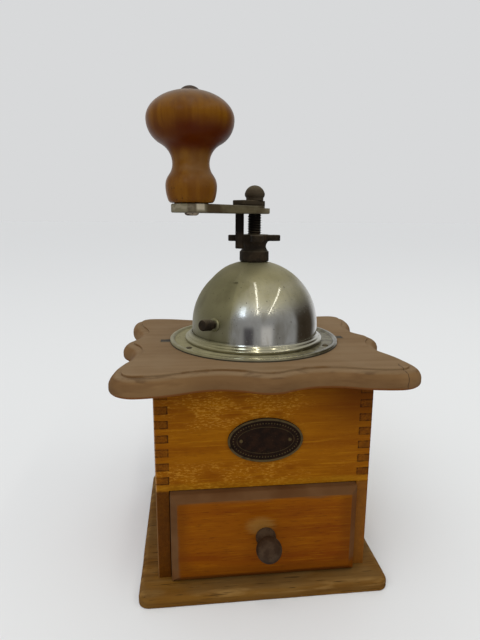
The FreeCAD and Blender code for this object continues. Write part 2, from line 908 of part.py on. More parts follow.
# Spindle: a plain bar with a thread for the wheel, a square for the arm and a top thread for the nut
def make_spindle():
    core = spindle_radius - thread_depth
    foot_low = housing_foot - spindle_foot_length
    steps = [
        (spindle_foot_radius, foot_low),
        (spindle_foot_radius, burr_foot),
        (spindle_radius, burr_foot),
        (spindle_radius, collar_top),
    ]
    thread_count = int((arm_bottom - collar_top) / thread_pitch)
    for turn in range(thread_count):
        low = collar_top + turn * thread_pitch
        steps.append((core, low + thread_pitch / 2))
        steps.append((spindle_radius, low + thread_pitch))
    steps += [
        (spindle_radius, arm_eye_top),
        (spindle_top_radius, arm_eye_top),
        (spindle_top_radius, spindle_top),
        (0, spindle_top),
    ]
    bar = turned((0, foot_low), steps)
    half = spindle_square / 2
    square = block((-half, half), (-half, half), (arm_bottom, arm_eye_top))
    flats = rod(2 * spindle_radius, arm_bottom, arm_eye_top).cut(square)
    bar = bar.cut(turned_about_z(flats, crank_angle))
    return bar.cut(spindle_pin_body(seat_clearance))


def spindle_pin_body(clearance=0.0):
    """The pin across the spindle, or the hole for it."""
    radius = spindle_pin_radius + clearance
    height = washer_bottom - running_clearance - spindle_pin_radius
    end = Vector(-spindle_pin_length / 2, 0, height)
    return Part.makeCylinder(radius, spindle_pin_length, end, Vector(1, 0, 0))


def make_spring_washer():
    bore = spindle_radius + running_clearance
    edge = spring_washer_radius
    high = washer_bottom + spring_washer_thickness
    return turned((bore, washer_bottom), [(edge, washer_bottom), (edge, high), (bore, high)])


def make_spindle_spring():
    low = washer_bottom + spring_washer_thickness + spring_wire_radius + running_clearance
    height = spring_top - spring_wire_radius - running_clearance - low
    helix = Part.makeHelix(height / spring_turns, height, spring_coil_radius)
    start = Vector(spring_coil_radius, 0, 0)
    wire = Part.Wire(Part.makeCircle(spring_wire_radius, start, Vector(0, 1, 0)))
    coil = Part.Wire(helix).makePipeShell([wire], True, True)
    coil.translate(Vector(0, 0, low))
    return coil


# Adjusting wheel: a waisted hub on the bush and a lugged disc
def make_adjusting_wheel():
    bore = spindle_radius + running_clearance
    waist_height = (collar_top + wheel_bottom) / 2
    wheel = turned(
        (bore, collar_top),
        [
            (wheel_hub_radius, collar_top),
            ((wheel_hub_waist_radius, waist_height), (wheel_hub_radius, wheel_bottom)),
            (wheel_disc_radius - wheel_edge, wheel_bottom),
            (wheel_disc_radius, wheel_bottom + wheel_edge),
            (wheel_disc_radius, wheel_top - wheel_edge),
            (wheel_disc_radius - wheel_edge, wheel_top),
            (bore, wheel_top),
        ],
    )
    half = wheel_lug_width / 2
    lug_end = wheel_lug_reach - half
    lug_low = wheel_bottom + wheel_edge / 2
    lug_high = wheel_top - wheel_edge / 2
    lug = block((bore + wheel_edge, lug_end), (-half, half), (lug_low, lug_high))
    lug = lug.fuse(rod(half, lug_low, lug_high, lug_end)).removeSplitter()
    lugs = [turned_about_z(lug, i * 360.0 / wheel_lug_count) for i in range(wheel_lug_count)]
    wheel = wheel.fuse(lugs).removeSplitter()
    return wheel.cut(rod(bore, collar_top - overshoot, wheel_top + overshoot))


# Crank arm and what sits on it, made along X and turned to the crank's rest angle
def at_crank_angle(shape):
    return turned_about_z(shape, crank_angle)


def make_crank_arm():
    near = (0.0, 0.0)
    far = (arm_length, 0.0)
    lean = math.degrees(math.asin((arm_handle_end_radius - arm_spindle_end_radius) / arm_length))
    side = 90.0 + lean
    start = on_circle(near, arm_spindle_end_radius, -side)
    steps = [
        on_circle(far, arm_handle_end_radius, -side),
        arc_step(far, arm_handle_end_radius, -side, side),
        on_circle(near, arm_spindle_end_radius, side),
        arc_step(near, arm_spindle_end_radius, side, 360 - side),
    ]
    edges = outline_edges(start, steps, lambda p: Vector(p[0], p[1], arm_bottom))
    arm = Part.Face(Part.Wire(edges)).extrude(Vector(0, 0, arm_thickness))
    middle_level = (arm_bottom + arm_top) / 2
    reach = arm_thickness / 2 - level_tolerance
    arm = round_edges(arm, arm_edge, lambda middle: abs(middle.z - middle_level) > reach)
    low = arm_bottom - overshoot
    high = arm_top + overshoot
    half = spindle_square / 2 + seat_clearance
    square = block((-half, half), (-half, half), (low, high))
    square = square.common(rod(spindle_radius + seat_clearance, low, high))
    pin_hole = rod(handle_pin_radius + seat_clearance, low, high, arm_length)
    slot_x = clip_leg_thickness / 2 + clip_leg_clearance
    slot_y = clip_leg_width / 2 + clip_leg_clearance
    slot = block((clip_leg_offset - slot_x, clip_leg_offset + slot_x), (-slot_y, slot_y), (low, high))
    tail = arm_spindle_end_radius + overshoot
    eye = block((-tail, arm_eye_reach), (-tail, tail), (arm_eye_top, high))
    return at_crank_angle(arm.cut([square, pin_hole, slot, eye]))


def make_arm_washer():
    bore = spindle_top_radius + seat_clearance
    edge = arm_washer_radius
    low = arm_eye_top
    return turned((bore, low), [(edge, low), (edge, clip_bottom), (bore, clip_bottom)])


def make_lock_clip():
    half = clip_width / 2
    plate = block((-clip_tail, clip_reach), (-half, half), (clip_bottom, clip_top))
    plate = round_edges(plate, clip_edge, lambda middle: middle.z > clip_bottom + clip_thickness / 2)
    leg = block(
        (clip_leg_offset - clip_leg_thickness / 2, clip_leg_offset + clip_leg_thickness / 2),
        (-clip_leg_width / 2, clip_leg_width / 2),
        (arm_bottom - clip_leg_drop, clip_bottom),
    )
    clip = plate.fuse(leg).removeSplitter()
    hole = rod(spindle_top_radius + clip_leg_clearance, clip_bottom - overshoot, clip_top + overshoot)
    return at_crank_angle(clip.cut(hole))


def make_cap_nut():
    bore = spindle_top_radius + running_clearance
    ball_low = clip_top + nut_neck_height
    roof = spindle_top + running_clearance
    side_reach = nut_radius - nut_side_round
    neck_angle = math.degrees(math.acos((nut_neck_radius - side_reach) / nut_side_round))
    side = (side_reach, ball_low + nut_side_round * math.sin(math.radians(neck_angle)))
    crown_radius = nut_radius + nut_crown_flattening
    crown_drop = math.sqrt((crown_radius - nut_side_round) ** 2 - side_reach ** 2)
    crown_angle = math.degrees(math.atan2(crown_drop, side_reach))
    return turned(
        (bore, clip_top),
        [
            (nut_neck_radius, clip_top),
            (nut_neck_radius, ball_low),
            arc_step(side, nut_side_round, -neck_angle, crown_angle),
            arc_step((0, side[1] - crown_drop), crown_radius, crown_angle, 90),
            (0, roof),
            (bore, roof),
        ],
    )


# Handle: turned grip, free to spin on a pin that is riveted in the arm
def at_handle(shape):
    copy = shape.copy()
    copy.translate(Vector(arm_length, 0, 0))
    return at_crank_angle(copy)


def make_handle():
    low = handle_bottom
    bore = handle_pin_radius + running_clearance
    bulge = (low + handle_bulge_height, handle_bulge_radius)
    neck = (low + handle_neck_height, handle_neck_radius)
    head = (low + handle_head_height, handle_head_radius)
    lift = handle_bulge_radius - handle_foot_radius
    foot_radius = (handle_bulge_height ** 2 + lift ** 2) / (2 * lift)
    foot_sweep = math.degrees(math.asin(handle_bulge_height / foot_radius))
    foot_centre = (handle_bulge_radius - foot_radius, bulge[0])
    steps = [(handle_foot_radius, low), arc_step(foot_centre, foot_radius, -foot_sweep, 0)]
    waist = s_curve(bulge, neck) + s_curve(neck, head, handle_head_share)
    steps += [((middle[1], middle[0]), (end[1], end[0])) for middle, end in waist]
    rise = handle_height - handle_head_height
    full_rise = rise / math.sqrt(1 - (handle_crown_radius / handle_head_radius) ** 2)
    steps.append(ellipse_step(head[0], handle_head_radius, full_rise, 0, rise))
    steps.append((bore, low + handle_height))
    return at_handle(turned((bore, low), steps))


def make_handle_pin():
    head_low = arm_bottom - handle_rivet_height
    cap_low = handle_bottom + handle_height + handle_cap_seat
    pin = turned(
        (0, head_low),
        [
            (handle_rivet_radius - handle_rivet_height / 2, head_low),
            (handle_rivet_radius, head_low + handle_rivet_height / 2),
            (handle_rivet_radius, arm_bottom),
            (handle_pin_radius, arm_bottom),
            (handle_pin_radius, cap_low),
            (handle_cap_radius, cap_low),
            cap_step(handle_cap_radius, cap_low, handle_cap_height),
        ],
    )
    return at_handle(pin)


def make_handle_washer():
    bore = handle_pin_radius + seat_clearance
    edge = handle_washer_radius
    high = arm_top + handle_washer_thickness
    return at_handle(turned((bore, arm_top), [(edge, arm_top), (edge, high), (bore, high)]))


# Drawer: a lipped front with a box of thin boards behind it, running on the base board
drawer_low = base_top + slide_clearance
drawer_half_width = inner_half_width - slide_clearance
drawer_front_y = front_y - drawer_front_proud
drawer_joint_y = drawer_front_y + drawer_front_thickness
drawer_end_y = back_y - wall_thickness - drawer_back_gap
drawer_front_top = opening_top - slide_clearance
drawer_side_top = drawer_front_top - drawer_side_drop
drawer_floor_low = drawer_low + drawer_groove_height
drawer_floor_top = drawer_floor_low + drawer_bottom_thickness
drawer_knob_z = (drawer_low + drawer_front_top) / 2


def drawer_knob_tenon(clearance=0.0):
    """The knob's tenon through the front, or the hole for it."""
    tenon = rod(drawer_knob_tenon_radius + clearance, -drawer_front_thickness, 0)
    tenon.rotate(Vector(0, 0, 0), Vector(1, 0, 0), 90)
    tenon.translate(Vector(0, drawer_front_y, drawer_knob_z))
    return tenon


def drawer_floor(clearance=0.0):
    """The drawer's bottom board, or the groove for it."""
    edge = drawer_half_width - drawer_board + drawer_groove_depth
    return block(
        (-edge - clearance, edge + clearance),
        (drawer_joint_y - drawer_groove_depth - clearance, drawer_end_y),
        (drawer_floor_low - clearance, drawer_floor_top + clearance),
    )


def make_drawer_front():
    half = drawer_half_width
    front = block((-half, half), (drawer_front_y, drawer_joint_y), (drawer_low, drawer_front_top))
    near_face = drawer_front_y + level_tolerance
    front = round_edges(front, drawer_front_round, lambda middle: middle.y < near_face)
    return front.cut([drawer_floor(seat_clearance), drawer_knob_tenon(seat_clearance)])


def make_drawer_side(side):
    outer = side * drawer_half_width
    inner = side * (drawer_half_width - drawer_board)
    x_range = (min(outer, inner), max(outer, inner))
    board = block(x_range, (drawer_joint_y, drawer_end_y), (drawer_low, drawer_side_top))
    return board.cut(drawer_floor(seat_clearance))


def make_drawer_back():
    edge = drawer_half_width - drawer_board
    low = drawer_floor_top + seat_clearance
    return block((-edge, edge), (drawer_end_y - drawer_board, drawer_end_y), (low, drawer_side_top))


def make_drawer_knob():
    foot = drawer_knob_foot_height
    neck = drawer_knob_neck_height
    centre = (0, neck + math.sqrt(drawer_knob_radius ** 2 - drawer_knob_neck_radius ** 2))
    first = math.degrees(math.acos(drawer_knob_neck_radius / drawer_knob_radius))
    knob = turned(
        (0, 0),
        [
            (drawer_knob_foot_radius, 0),
            (drawer_knob_foot_radius, foot / 2),
            ((drawer_knob_neck_radius + drawer_knob_cove, foot), (drawer_knob_neck_radius, neck)),
            arc_step(centre, drawer_knob_radius, -first, 90),
        ],
    )
    knob.rotate(Vector(0, 0, 0), Vector(1, 0, 0), 90)
    knob.translate(Vector(0, drawer_front_y, drawer_knob_z))
    return knob.fuse(drawer_knob_tenon()).removeSplitter()


nodes = {
    "base_board": make_base_board(),
    "base_screws": Part.makeCompound(base_screw_set()),
    "left_wall": make_side_wall(-1),
    "right_wall": make_side_wall(1),
    "back_wall": make_cross_wall((back_y - wall_thickness, back_y), back_bands),
    "front_panel": make_front_panel(),
    "badge_plate": make_badge_plate(),
    "badge_pins": Part.makeCompound([badge_pin(x) for x in (-badge_pin_x, badge_pin_x)]),
    "top_board": make_top_board(),
    "drawer_front": make_drawer_front(),
    "drawer_left_side": make_drawer_side(-1),
    "drawer_right_side": make_drawer_side(1),
    "drawer_back": make_drawer_back(),
    "drawer_bottom": drawer_floor(),
    "drawer_knob": make_drawer_knob(),
    "hopper_flange": make_hopper_flange(),
    "flange_nails": Part.makeCompound(flange_nail_set()),
    "hopper_dome": make_hopper_dome(),
    "hopper_door": make_hopper_door(),
    "door_rosette": make_door_rosette(),
    "door_knob": make_door_knob(),
    "bearing_bush": make_bearing_bush(),
    "bush_nut": make_bush_nut(),
    "bearing_bridge": make_bearing_bridge(),
    "bridge_screws": Part.makeCompound(bridge_screw_set()),
    "burr_housing": make_burr_housing(),
    "housing_screws": Part.makeCompound(housing_screw_set()),
    "outer_burr": make_outer_burr(),
    "cone_burr": make_cone_burr(),
    "foot_bridge": make_foot_bridge(),
    "foot_bridge_screws": Part.makeCompound(foot_screw_set()),
    "spindle": make_spindle(),
    "spindle_pin": spindle_pin_body(),
    "spring_washer": make_spring_washer(),
    "spindle_spring": make_spindle_spring(),
    "adjusting_wheel": make_adjusting_wheel(),
    "crank_arm": make_crank_arm(),
    "arm_washer": make_arm_washer(),
    "lock_clip": make_lock_clip(),
    "cap_nut": make_cap_nut(),
    "handle": make_handle(),
    "handle_pin": make_handle_pin(),
    "handle_washer": make_handle_washer(),
}

os.makedirs("parts", exist_ok=True)
for name, shape in nodes.items():
    shape.exportStep(os.path.join("parts", name + ".step"))
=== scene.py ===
import math

import bmesh
import bpy
from mathutils import Matrix, Vector, noise


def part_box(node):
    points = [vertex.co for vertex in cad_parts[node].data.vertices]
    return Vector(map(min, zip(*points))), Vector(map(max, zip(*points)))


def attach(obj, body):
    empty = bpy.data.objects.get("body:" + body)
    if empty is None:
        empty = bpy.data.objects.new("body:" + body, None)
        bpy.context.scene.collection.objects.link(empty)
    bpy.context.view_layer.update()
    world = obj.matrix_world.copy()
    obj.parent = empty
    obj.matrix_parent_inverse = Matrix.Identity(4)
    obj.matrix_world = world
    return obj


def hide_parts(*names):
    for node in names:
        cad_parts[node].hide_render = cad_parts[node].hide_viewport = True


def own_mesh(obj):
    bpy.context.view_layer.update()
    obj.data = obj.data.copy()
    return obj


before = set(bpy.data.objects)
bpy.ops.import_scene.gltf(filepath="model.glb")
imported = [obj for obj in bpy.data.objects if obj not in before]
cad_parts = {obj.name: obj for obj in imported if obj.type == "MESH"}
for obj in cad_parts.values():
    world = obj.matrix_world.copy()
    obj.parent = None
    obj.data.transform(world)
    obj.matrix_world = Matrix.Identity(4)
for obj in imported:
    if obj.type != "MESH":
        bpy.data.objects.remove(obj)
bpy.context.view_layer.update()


# Base board: one wide plank under the case with its top edge rounded over.
# The wood is varnished beech gone dull and brown, chafed along its edge and split in places.
# Four wood screws from below hold it to the side walls.
MM = 0.001


def solid_box(node):
    """The low and high corners of a solid, in millimetres."""
    return [[round(value / MM, 3) for value in corner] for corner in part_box(node)]


class Field:
    """One socket of a node tree; sums and products of fields add Math nodes."""

    def __init__(self, socket):
        self.socket = socket

    def make(self, kind, settings, inputs, output=0):
        """Adds a node of a type, with its settings and the values or fields of its sockets."""
        tree = self.socket.id_data
        node = tree.nodes.new(kind)
        for name, value in settings.items():
            setattr(node, name, value)
        for name, value in inputs.items():
            if isinstance(value, Field):
                tree.links.new(value.socket, node.inputs[name])
            else:
                node.inputs[name].default_value = value
        return Field(node.outputs[output])

    def maths(self, operation, first, second):
        return self.make("ShaderNodeMath", {"operation": operation}, {0: first, 1: second})

    def alone(self, operation):
        """A Math node on this field only, such as its size without the sign."""
        return self.make("ShaderNodeMath", {"operation": operation}, {0: self})

    def __add__(self, other):
        return self.maths("ADD", self, other)

    def __sub__(self, other):
        return self.maths("SUBTRACT", self, other)

    def __mul__(self, other):
        return self.maths("MULTIPLY", self, other)

    def __radd__(self, other):
        return self.maths("ADD", other, self)

    def __rsub__(self, other):
        return self.maths("SUBTRACT", other, self)

    def __rmul__(self, other):
        return self.maths("MULTIPLY", other, self)


def tint(red, green, blue):
    """A colour as seen on screen, 0 to 255, in the linear values that sockets take."""
    seen = [value / 255 for value in (red, green, blue)]
    return [value / 12.92 if value < 0.04 else ((value + 0.055) / 1.055) ** 2.4 for value in seen] + [1.0]


def new_finish(name):
    """A material, its shader node, and its object coordinates as a field."""
    material = bpy.data.materials.new(name)
    material.use_nodes = True
    shader = material.node_tree.nodes["Principled BSDF"]
    coordinates = material.node_tree.nodes.new("ShaderNodeTexCoord")
    return material, shader, Field(coordinates.outputs["Object"])


def surface_normal(place):
    """The direction that the surface faces, in the piece's own axes."""
    return Field(place.socket.node.outputs["Normal"])


def along(place, letter):
    return place.make("ShaderNodeSeparateXYZ", {}, {0: place}, "XYZ".index(letter))


def clouds(place, size, detail=2.0, shift=0.0):
    """Soft values about a half, in blots of a size along each axis."""
    rate = [1 / value for value in size]
    scaled = place.make(
        "ShaderNodeVectorMath", {"operation": "MULTIPLY_ADD"}, {0: place, 1: rate, 2: (shift, shift, shift)}
    )
    return place.make("ShaderNodeTexNoise", {}, {"Vector": scaled, "Scale": 1.0, "Detail": detail})


def rise(field, low, high):
    """Nought below one value, one above another, and smooth between them."""
    smooth = {"interpolation_type": "SMOOTHSTEP"}
    return field.make("ShaderNodeMapRange", smooth, {"Value": field, "From Min": low, "From Max": high})


def band(field, middle, half_width, edge):
    """One near a value, fading over an edge on both sides."""
    away = (field - middle).alone("ABSOLUTE")
    return 1 - rise(away, half_width, half_width + edge)


def blend(share, first, second):
    return share.make("ShaderNodeMix", {"data_type": "RGBA"}, {0: share, 6: first, 7: second}, 2)


def relief(height, strength, depth):
    return height.make("ShaderNodeBump", {}, {"Strength": strength, "Distance": depth, "Height": height})


def feed(shader, **fields):
    """Links fields to the shader's sockets, or sets plain values on them."""
    for name, value in fields.items():
        socket = shader.inputs[name.replace("_", " ")]
        if isinstance(value, Field):
            shader.id_data.links.new(value.socket, socket)
        else:
            socket.default_value = value


def grain_size(direction, across, length):
    """The size of a streak that lies along one axis."""
    return [length if letter == direction else across for letter in "XYZ"]


def add_piece(name, mesh_data, material, body, nodes, sharp=35):
    """An object from a bmesh in millimetres, smooth up to an angle, riding on its body."""
    bmesh.ops.remove_doubles(mesh_data, verts=mesh_data.verts, dist=0.0005)
    bmesh.ops.recalc_face_normals(mesh_data, faces=mesh_data.faces)
    bmesh.ops.scale(mesh_data, vec=(MM, MM, MM), verts=mesh_data.verts)
    mesh = bpy.data.meshes.new(name)
    mesh_data.to_mesh(mesh)
    mesh_data.free()
    mesh.shade_smooth()
    mesh.set_sharp_from_angle(angle=math.radians(sharp))
    mesh.materials.append(material)
    piece = bpy.data.objects.new(name, mesh)
    bpy.context.scene.collection.objects.link(piece)
    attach(piece, body)
    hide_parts(*nodes)
    return piece


def skin(mesh_data, rings, closed=False):
    """Quads between rings of points, with a face over each end unless the rings close up."""
    loops = [[mesh_data.verts.new(point) for point in ring] for ring in rings]
    pairs = list(zip(loops, loops[1:]))
    if closed:
        pairs.append((loops[-1], loops[0]))
    else:
        mesh_data.faces.new(loops[0][::-1])
        mesh_data.faces.new(loops[-1])
    for low, high in pairs:
        for i in range(len(low)):
            j = (i + 1) % len(low)
            mesh_data.faces.new((low[i], low[j], high[j], high[i]))


def inset_ring(outline, inset, level):
    """An outline moved inwards along its own normals, at a height."""
    ring = []
    for i, point in enumerate(outline):
        before = outline[i - 1]
        after = outline[(i + 1) % len(outline)]
        run = (after - before).normalized()
        ring.append((point.x - run.y * inset, point.y + run.x * inset, level))
    return ring


def rounded_rectangle(half_width, half_depth, corner, level, steps=10, edge_steps=14):
    """A ring round a rectangle with round corners, anticlockwise, at a height."""
    points = []
    for side_x, side_y, first in ((1, 1, 0), (-1, 1, 90), (-1, -1, 180), (1, -1, 270)):
        centre = Vector((side_x * (half_width - corner), side_y * (half_depth - corner), level))
        for step in range(steps + 1):
            angle = math.radians(first + 90 * step / steps)
            points.append(centre + corner * Vector((math.cos(angle), math.sin(angle), 0)))
    ring = []
    for i, here in enumerate(points):
        there = points[(i + 1) % len(points)]
        straight = i % (steps + 1) == steps
        count = edge_steps if straight else 1
        ring += [here.lerp(there, step / count) for step in range(count)]
    return ring


def rectangle_rings(half_width, half_depth, corner, levels):
    """Rings of a rectangle at each inset and height of its edge."""
    least_corner = 0.15
    rings = []
    for inset, level in levels:
        round_corner = max(corner - inset, least_corner)
        rings.append(rounded_rectangle(half_width - inset, half_depth - inset, round_corner, level))
    return rings


def rounded_path(corners, steps=6):
    """Points along straight runs, each corner given with the radius that rounds it."""
    points = []
    for i, (x, y, radius) in enumerate(corners):
        here = Vector((x, y))
        if radius == 0:
            points.append(here)
            continue
        back = (Vector(corners[i - 1][:2]) - here).normalized()
        ahead = (Vector(corners[(i + 1) % len(corners)][:2]) - here).normalized()
        half = back.angle(ahead) / 2
        centre = here + (back + ahead).normalized() * radius / math.sin(half)
        start = here + back * radius / math.tan(half) - centre
        end = here + ahead * radius / math.tan(half) - centre
        for step in range(steps + 1):
            points.append(centre + start.lerp(end, step / steps).normalized() * radius)
    return points


def worn_ring(ring, depth, size):
    """A ring with shallow dents towards the middle."""
    worn = []
    for x, y, z in ring:
        dent = depth * max(0, noise.noise((x / size, y / size, z / size)))
        share = 1 - dent / math.hypot(x, y)
        worn.append((x * share, y * share, z))
    return worn


base_half_width, base_half_depth, base_thickness = solid_box("base_board")[1]
base_corner = 6
dent_depth = 0.35
dent_size = 9
base_edge = [(4, 0, 0), (0, 0, 0.8), (0, base_thickness, 3.5), (5.5, base_thickness, 0)]
base_levels = rounded_path(base_edge, steps=9)
base_rings = rectangle_rings(base_half_width, base_half_depth, base_corner, base_levels)
base_mesh = bmesh.new()
skin(base_mesh, [worn_ring(ring, dent_depth, dent_size) for ring in base_rings])

dull_wood, shader, place = new_finish("dull_base_wood")
streaks = clouds(place, grain_size("X", 0.004, 0.09), 4.0)
fine = clouds(place, grain_size("X", 0.0008, 0.02), 3.0)
stain = clouds(place, (0.03, 0.03, 0.03), 4.0, 3.1)
colour = blend(rise(streaks, 0.35, 0.68), tint(112, 76, 26), tint(90, 58, 18))
colour = blend(rise(stain, 0.45, 0.7) * 0.6, colour, tint(108, 80, 40))
colour = blend(rise(fine, 0.56, 0.72) * 0.35, colour, tint(68, 43, 16))
upright = along(surface_normal(place), "Z")
level = rise(upright, 0.5, 0.95)
colour = blend(level * rise(stain, 0.3, 0.6) * 0.6, colour, tint(98, 74, 42))
chafing = rise(clouds(place, grain_size("X", 0.004, 0.022), 4.0, 6.6), 0.46, 0.66)
colour = blend(band(upright, 0.55, 0.30, 0.25) * chafing * 0.6, colour, tint(138, 106, 60))
splits = rise(clouds(place, grain_size("X", 0.0011, 0.022), 3.0, 8.8), 0.64, 0.69)
colour = blend(splits * 0.75, colour, tint(44, 29, 13))
rough = 0.6 + 0.2 * stain
bumps = relief(streaks + fine * 0.6, 0.2, 0.0004)
feed(shader, Base_Color=colour, Roughness=rough, Normal=bumps, Specular_IOR_Level=0.06)
add_piece("base_board_piece", base_mesh, dull_wood, "mill_body", ["base_board"])


# Case: four boards, finger jointed at the corners and glued, the front one only above the drawer.
# Amber varnished beech with the grain lying level; the finger ends show dark end grain.
# The varnish has flaked off in small dashes near the top and along the drawer.
panel_low, panel_high = solid_box("front_panel")
case_half_width = panel_high[0]
case_half_depth = -panel_low[1]
wall = panel_high[1] - panel_low[1]
wall_low = base_thickness
wall_high = panel_high[2]
opening_high = panel_low[2]
front_fingers = 15
back_fingers = 27
joint_line = (case_half_width - wall) * MM
opening_line = opening_high * MM
left_line = -case_half_width * MM
front_line = -case_half_depth * MM


def amber_wood(name, direction, end_letter):
    """Varnished boards with their grain along one axis and end grain facing another."""
    material, shader, place = new_finish(name)
    broad = clouds(place, grain_size(direction, 0.007, 0.12), 3.0)
    fine = clouds(place, grain_size(direction, 0.0009, 0.022), 3.0, 5.3)
    pores = clouds(place, grain_size(direction, 0.00045, 0.005), 2.0, 1.7)
    stain = clouds(place, (0.035, 0.035, 0.03), 3.0, 8.2)
    colour = blend(rise(broad, 0.33, 0.7), tint(137, 82, 3), tint(119, 64, 1))
    colour = blend(rise(stain, 0.48, 0.72) * 0.55, colour, tint(108, 53, 1))
    colour = blend(rise(fine, 0.5, 0.75) * 0.5, colour, tint(158, 104, 12))
    colour = blend(rise(pores, 0.6, 0.7) * 0.35, colour, tint(88, 44, 1))
    # Varnish flaked off in dashes near the top and above the drawer
    flecks = rise(clouds(place, grain_size(direction, 0.0005, 0.0018), 5.0, 2.4), 0.46, 0.70)
    patches = rise(clouds(place, (0.014, 0.014, 0.009), 3.0, 6.6), 0.34, 0.62)
    height = along(place, "Z")
    side = along(place, "X")
    top_wear = band(height, 0.104, 0.004, 0.014) * band(side, -0.016, 0.014, 0.034)
    low_wear = band(height, opening_line + 0.005, 0.003, 0.011) * band(side, -0.022, 0.024, 0.034)
    depth = along(place, "Y")
    front = 1 - rise(depth, front_line + 0.001, front_line + 0.006)
    worn = ((top_wear + low_wear * 0.9) * (0.25 + 0.75 * front) + 0.22) * patches
    colour = blend(worn * 0.5, colour, tint(146, 90, 9))
    colour = blend(rise(worn * flecks, 0.02, 0.75) * 0.55, colour, tint(184, 131, 46))
    drawer_rub = band(height, opening_line + 0.0014, 0.0006, 0.0032) * front
    drawer_rub = drawer_rub * rise(stain + flecks * 0.4, 0.35, 0.9)
    colour = blend(drawer_rub * 0.5, colour, tint(162, 116, 22))
    # A redder upper corner on the right, and a painted highlight along the rounded front corner on the left
    red_corner = rise(side, 0.015, 0.05) * rise(height, 0.075, 0.11)
    colour = blend(red_corner * 0.9, colour, tint(94, 46, 1))
    left_outer_face = 1 - rise(side, left_line + 0.0001, left_line + 0.0009)
    painted_corner_highlight = left_outer_face * (1 - rise(depth, front_line + 0.0005, front_line + 0.0015))
    # Painted highlight: the rounded left front corner is painted pale
    colour = blend(painted_corner_highlight * 0.8, colour, tint(176, 136, 90))
    # End grain on the fingers
    facing = along(surface_normal(place), end_letter)
    end_on = rise(facing * facing, 0.45, 0.75)
    speckle = clouds(place, (0.0008, 0.0008, 0.0008), 3.0)
    smudge = rise(clouds(place, (0.0030, 0.0030, 0.0022), 3.0, 9.4), 0.36, 0.64)
    end_colour = blend(rise(speckle, 0.35, 0.7), tint(112, 64, 8), tint(86, 42, 4))
    end_colour = blend(smudge * 0.6, end_colour, tint(64, 32, 6))
    colour = blend(end_on * (1 - painted_corner_highlight) * 0.75, colour, end_colour)
    # The side walls' front edges beside the drawer, dark on the left and pale on the right
    below = (1 - rise(height, opening_line - 0.001, opening_line + 0.0002)) * front
    left_of_drawer = 1 - rise(side, -joint_line + 0.0005, -joint_line + 0.0015)
    right_of_drawer = rise(side, joint_line - 0.0015, joint_line - 0.0005)
    colour = blend(below * left_of_drawer * 0.6, colour, tint(60, 31, 6))
    colour = blend(below * right_of_drawer * 0.5, colour, tint(122, 78, 30))
    # Dark glue lines round the fingers
    out = side.alone("ABSOLUTE")
    finger = (height - opening_line) * (front_fingers / ((wall_high - opening_high) * MM))
    within = finger.alone("FRACT")
    odd = rise((finger * 0.5).alone("FRACT"), 0.49, 0.51)
    corner = rise(out, joint_line - 0.0005, joint_line)
    level_lines = (band(within, 0, 0.04, 0.10) + band(within, 1, 0.04, 0.10)) * corner
    upright_lines = band(out, joint_line, 0.0002, 0.0003) * odd
    glue_lines = (level_lines + upright_lines) * rise(height, opening_line, opening_line + 0.0004) * front
    colour = blend(glue_lines * (0.25 + 0.5 * smudge), colour, tint(48, 22, 5))
    rough = 0.42 + 0.25 * stain + 0.2 * worn
    bumps = relief(fine * 0.5 + flecks * worn * 0.6 - pores * 0.3, 0.18, 0.0004)
    feed(shader, Base_Color=colour, Roughness=rough, Normal=bumps, Specular_IOR_Level=0.05)
    return material


def finger_edges(low, high, count):
    pitch = (high - low) / count
    return [(low + i * pitch, low + (i + 1) * pitch, i % 2) for i in range(count)]


def jointed_board(name, outline, place_point, thickness, material, nodes):
    """A board cut to an outline with fingers, its outer corners rounded a little."""
    mesh_data = bmesh.new()
    rings = [[place_point(a, b, depth) for a, b in outline] for depth in thickness]
    skin(mesh_data, rings)
    weights = mesh_data.edges.layers.float.new("bevel_weight_edge")
    for edge in mesh_data.edges:
        middle = (edge.verts[0].co + edge.verts[1].co) / 2
        corner = abs(middle.x) > case_half_width - 0.01 and abs(middle.y) > case_half_depth - 0.01
        edge[weights] = 1.0 if corner else 0.22
    piece = add_piece(name, mesh_data, material, "mill_body", nodes)
    bevel = piece.modifiers.new("worn corners", "BEVEL")
    bevel.limit_method = "WEIGHT"
    bevel.width = 1.1 * MM
    bevel.segments = 3


def panel_outline(low, high, count):
    """Outline of the front or back board: even fingers reach the corner, odd ones stop short."""
    inner = case_half_width - wall
    right = []
    for start, end, odd in finger_edges(low, high, count):
        reach = inner if odd else case_half_width
        right += [(reach, start), (reach, end)]
    return right + [(-x, z) for x, z in reversed(right)]


def side_outline():
    """Outline of a side wall: its odd fingers reach the front and the back."""
    inner = case_half_depth - wall
    front = [(-case_half_depth, wall_low)]
    for start, end, odd in finger_edges(opening_high, wall_high, front_fingers):
        reach = -case_half_depth if odd else -inner
        front += [(reach, start), (reach, end)]
    front.insert(1, (-case_half_depth, opening_high))
    back = []
    for start, end, odd in finger_edges(wall_low, wall_high, back_fingers):
        reach = case_half_depth if odd else inner
        back += [(reach, start), (reach, end)]
    return back + front[::-1]


level_grain = amber_wood("amber_level_grain", "X", "X")
side_grain = amber_wood("amber_side_grain", "Y", "Y")
front_outline = panel_outline(opening_high, wall_high, front_fingers)
jointed_board(
    "front_panel_piece", front_outline, lambda a, b, depth: (a, depth, b),
    (-case_half_depth, -case_half_depth + wall), level_grain, ["front_panel"],
)
back_outline = panel_outline(wall_low, wall_high, back_fingers)
jointed_board(
    "back_wall_piece", back_outline, lambda a, b, depth: (a, depth, b),
    (case_half_depth - wall, case_half_depth), level_grain, ["back_wall"],
)
for side_name, side in (("left_wall", -1), ("right_wall", 1)):
    jointed_board(
        side_name + "_piece", side_outline(), lambda a, b, depth: (depth, a, b),
        (side * (case_half_width - wall), side * case_half_width), side_grain, [side_name],
    )


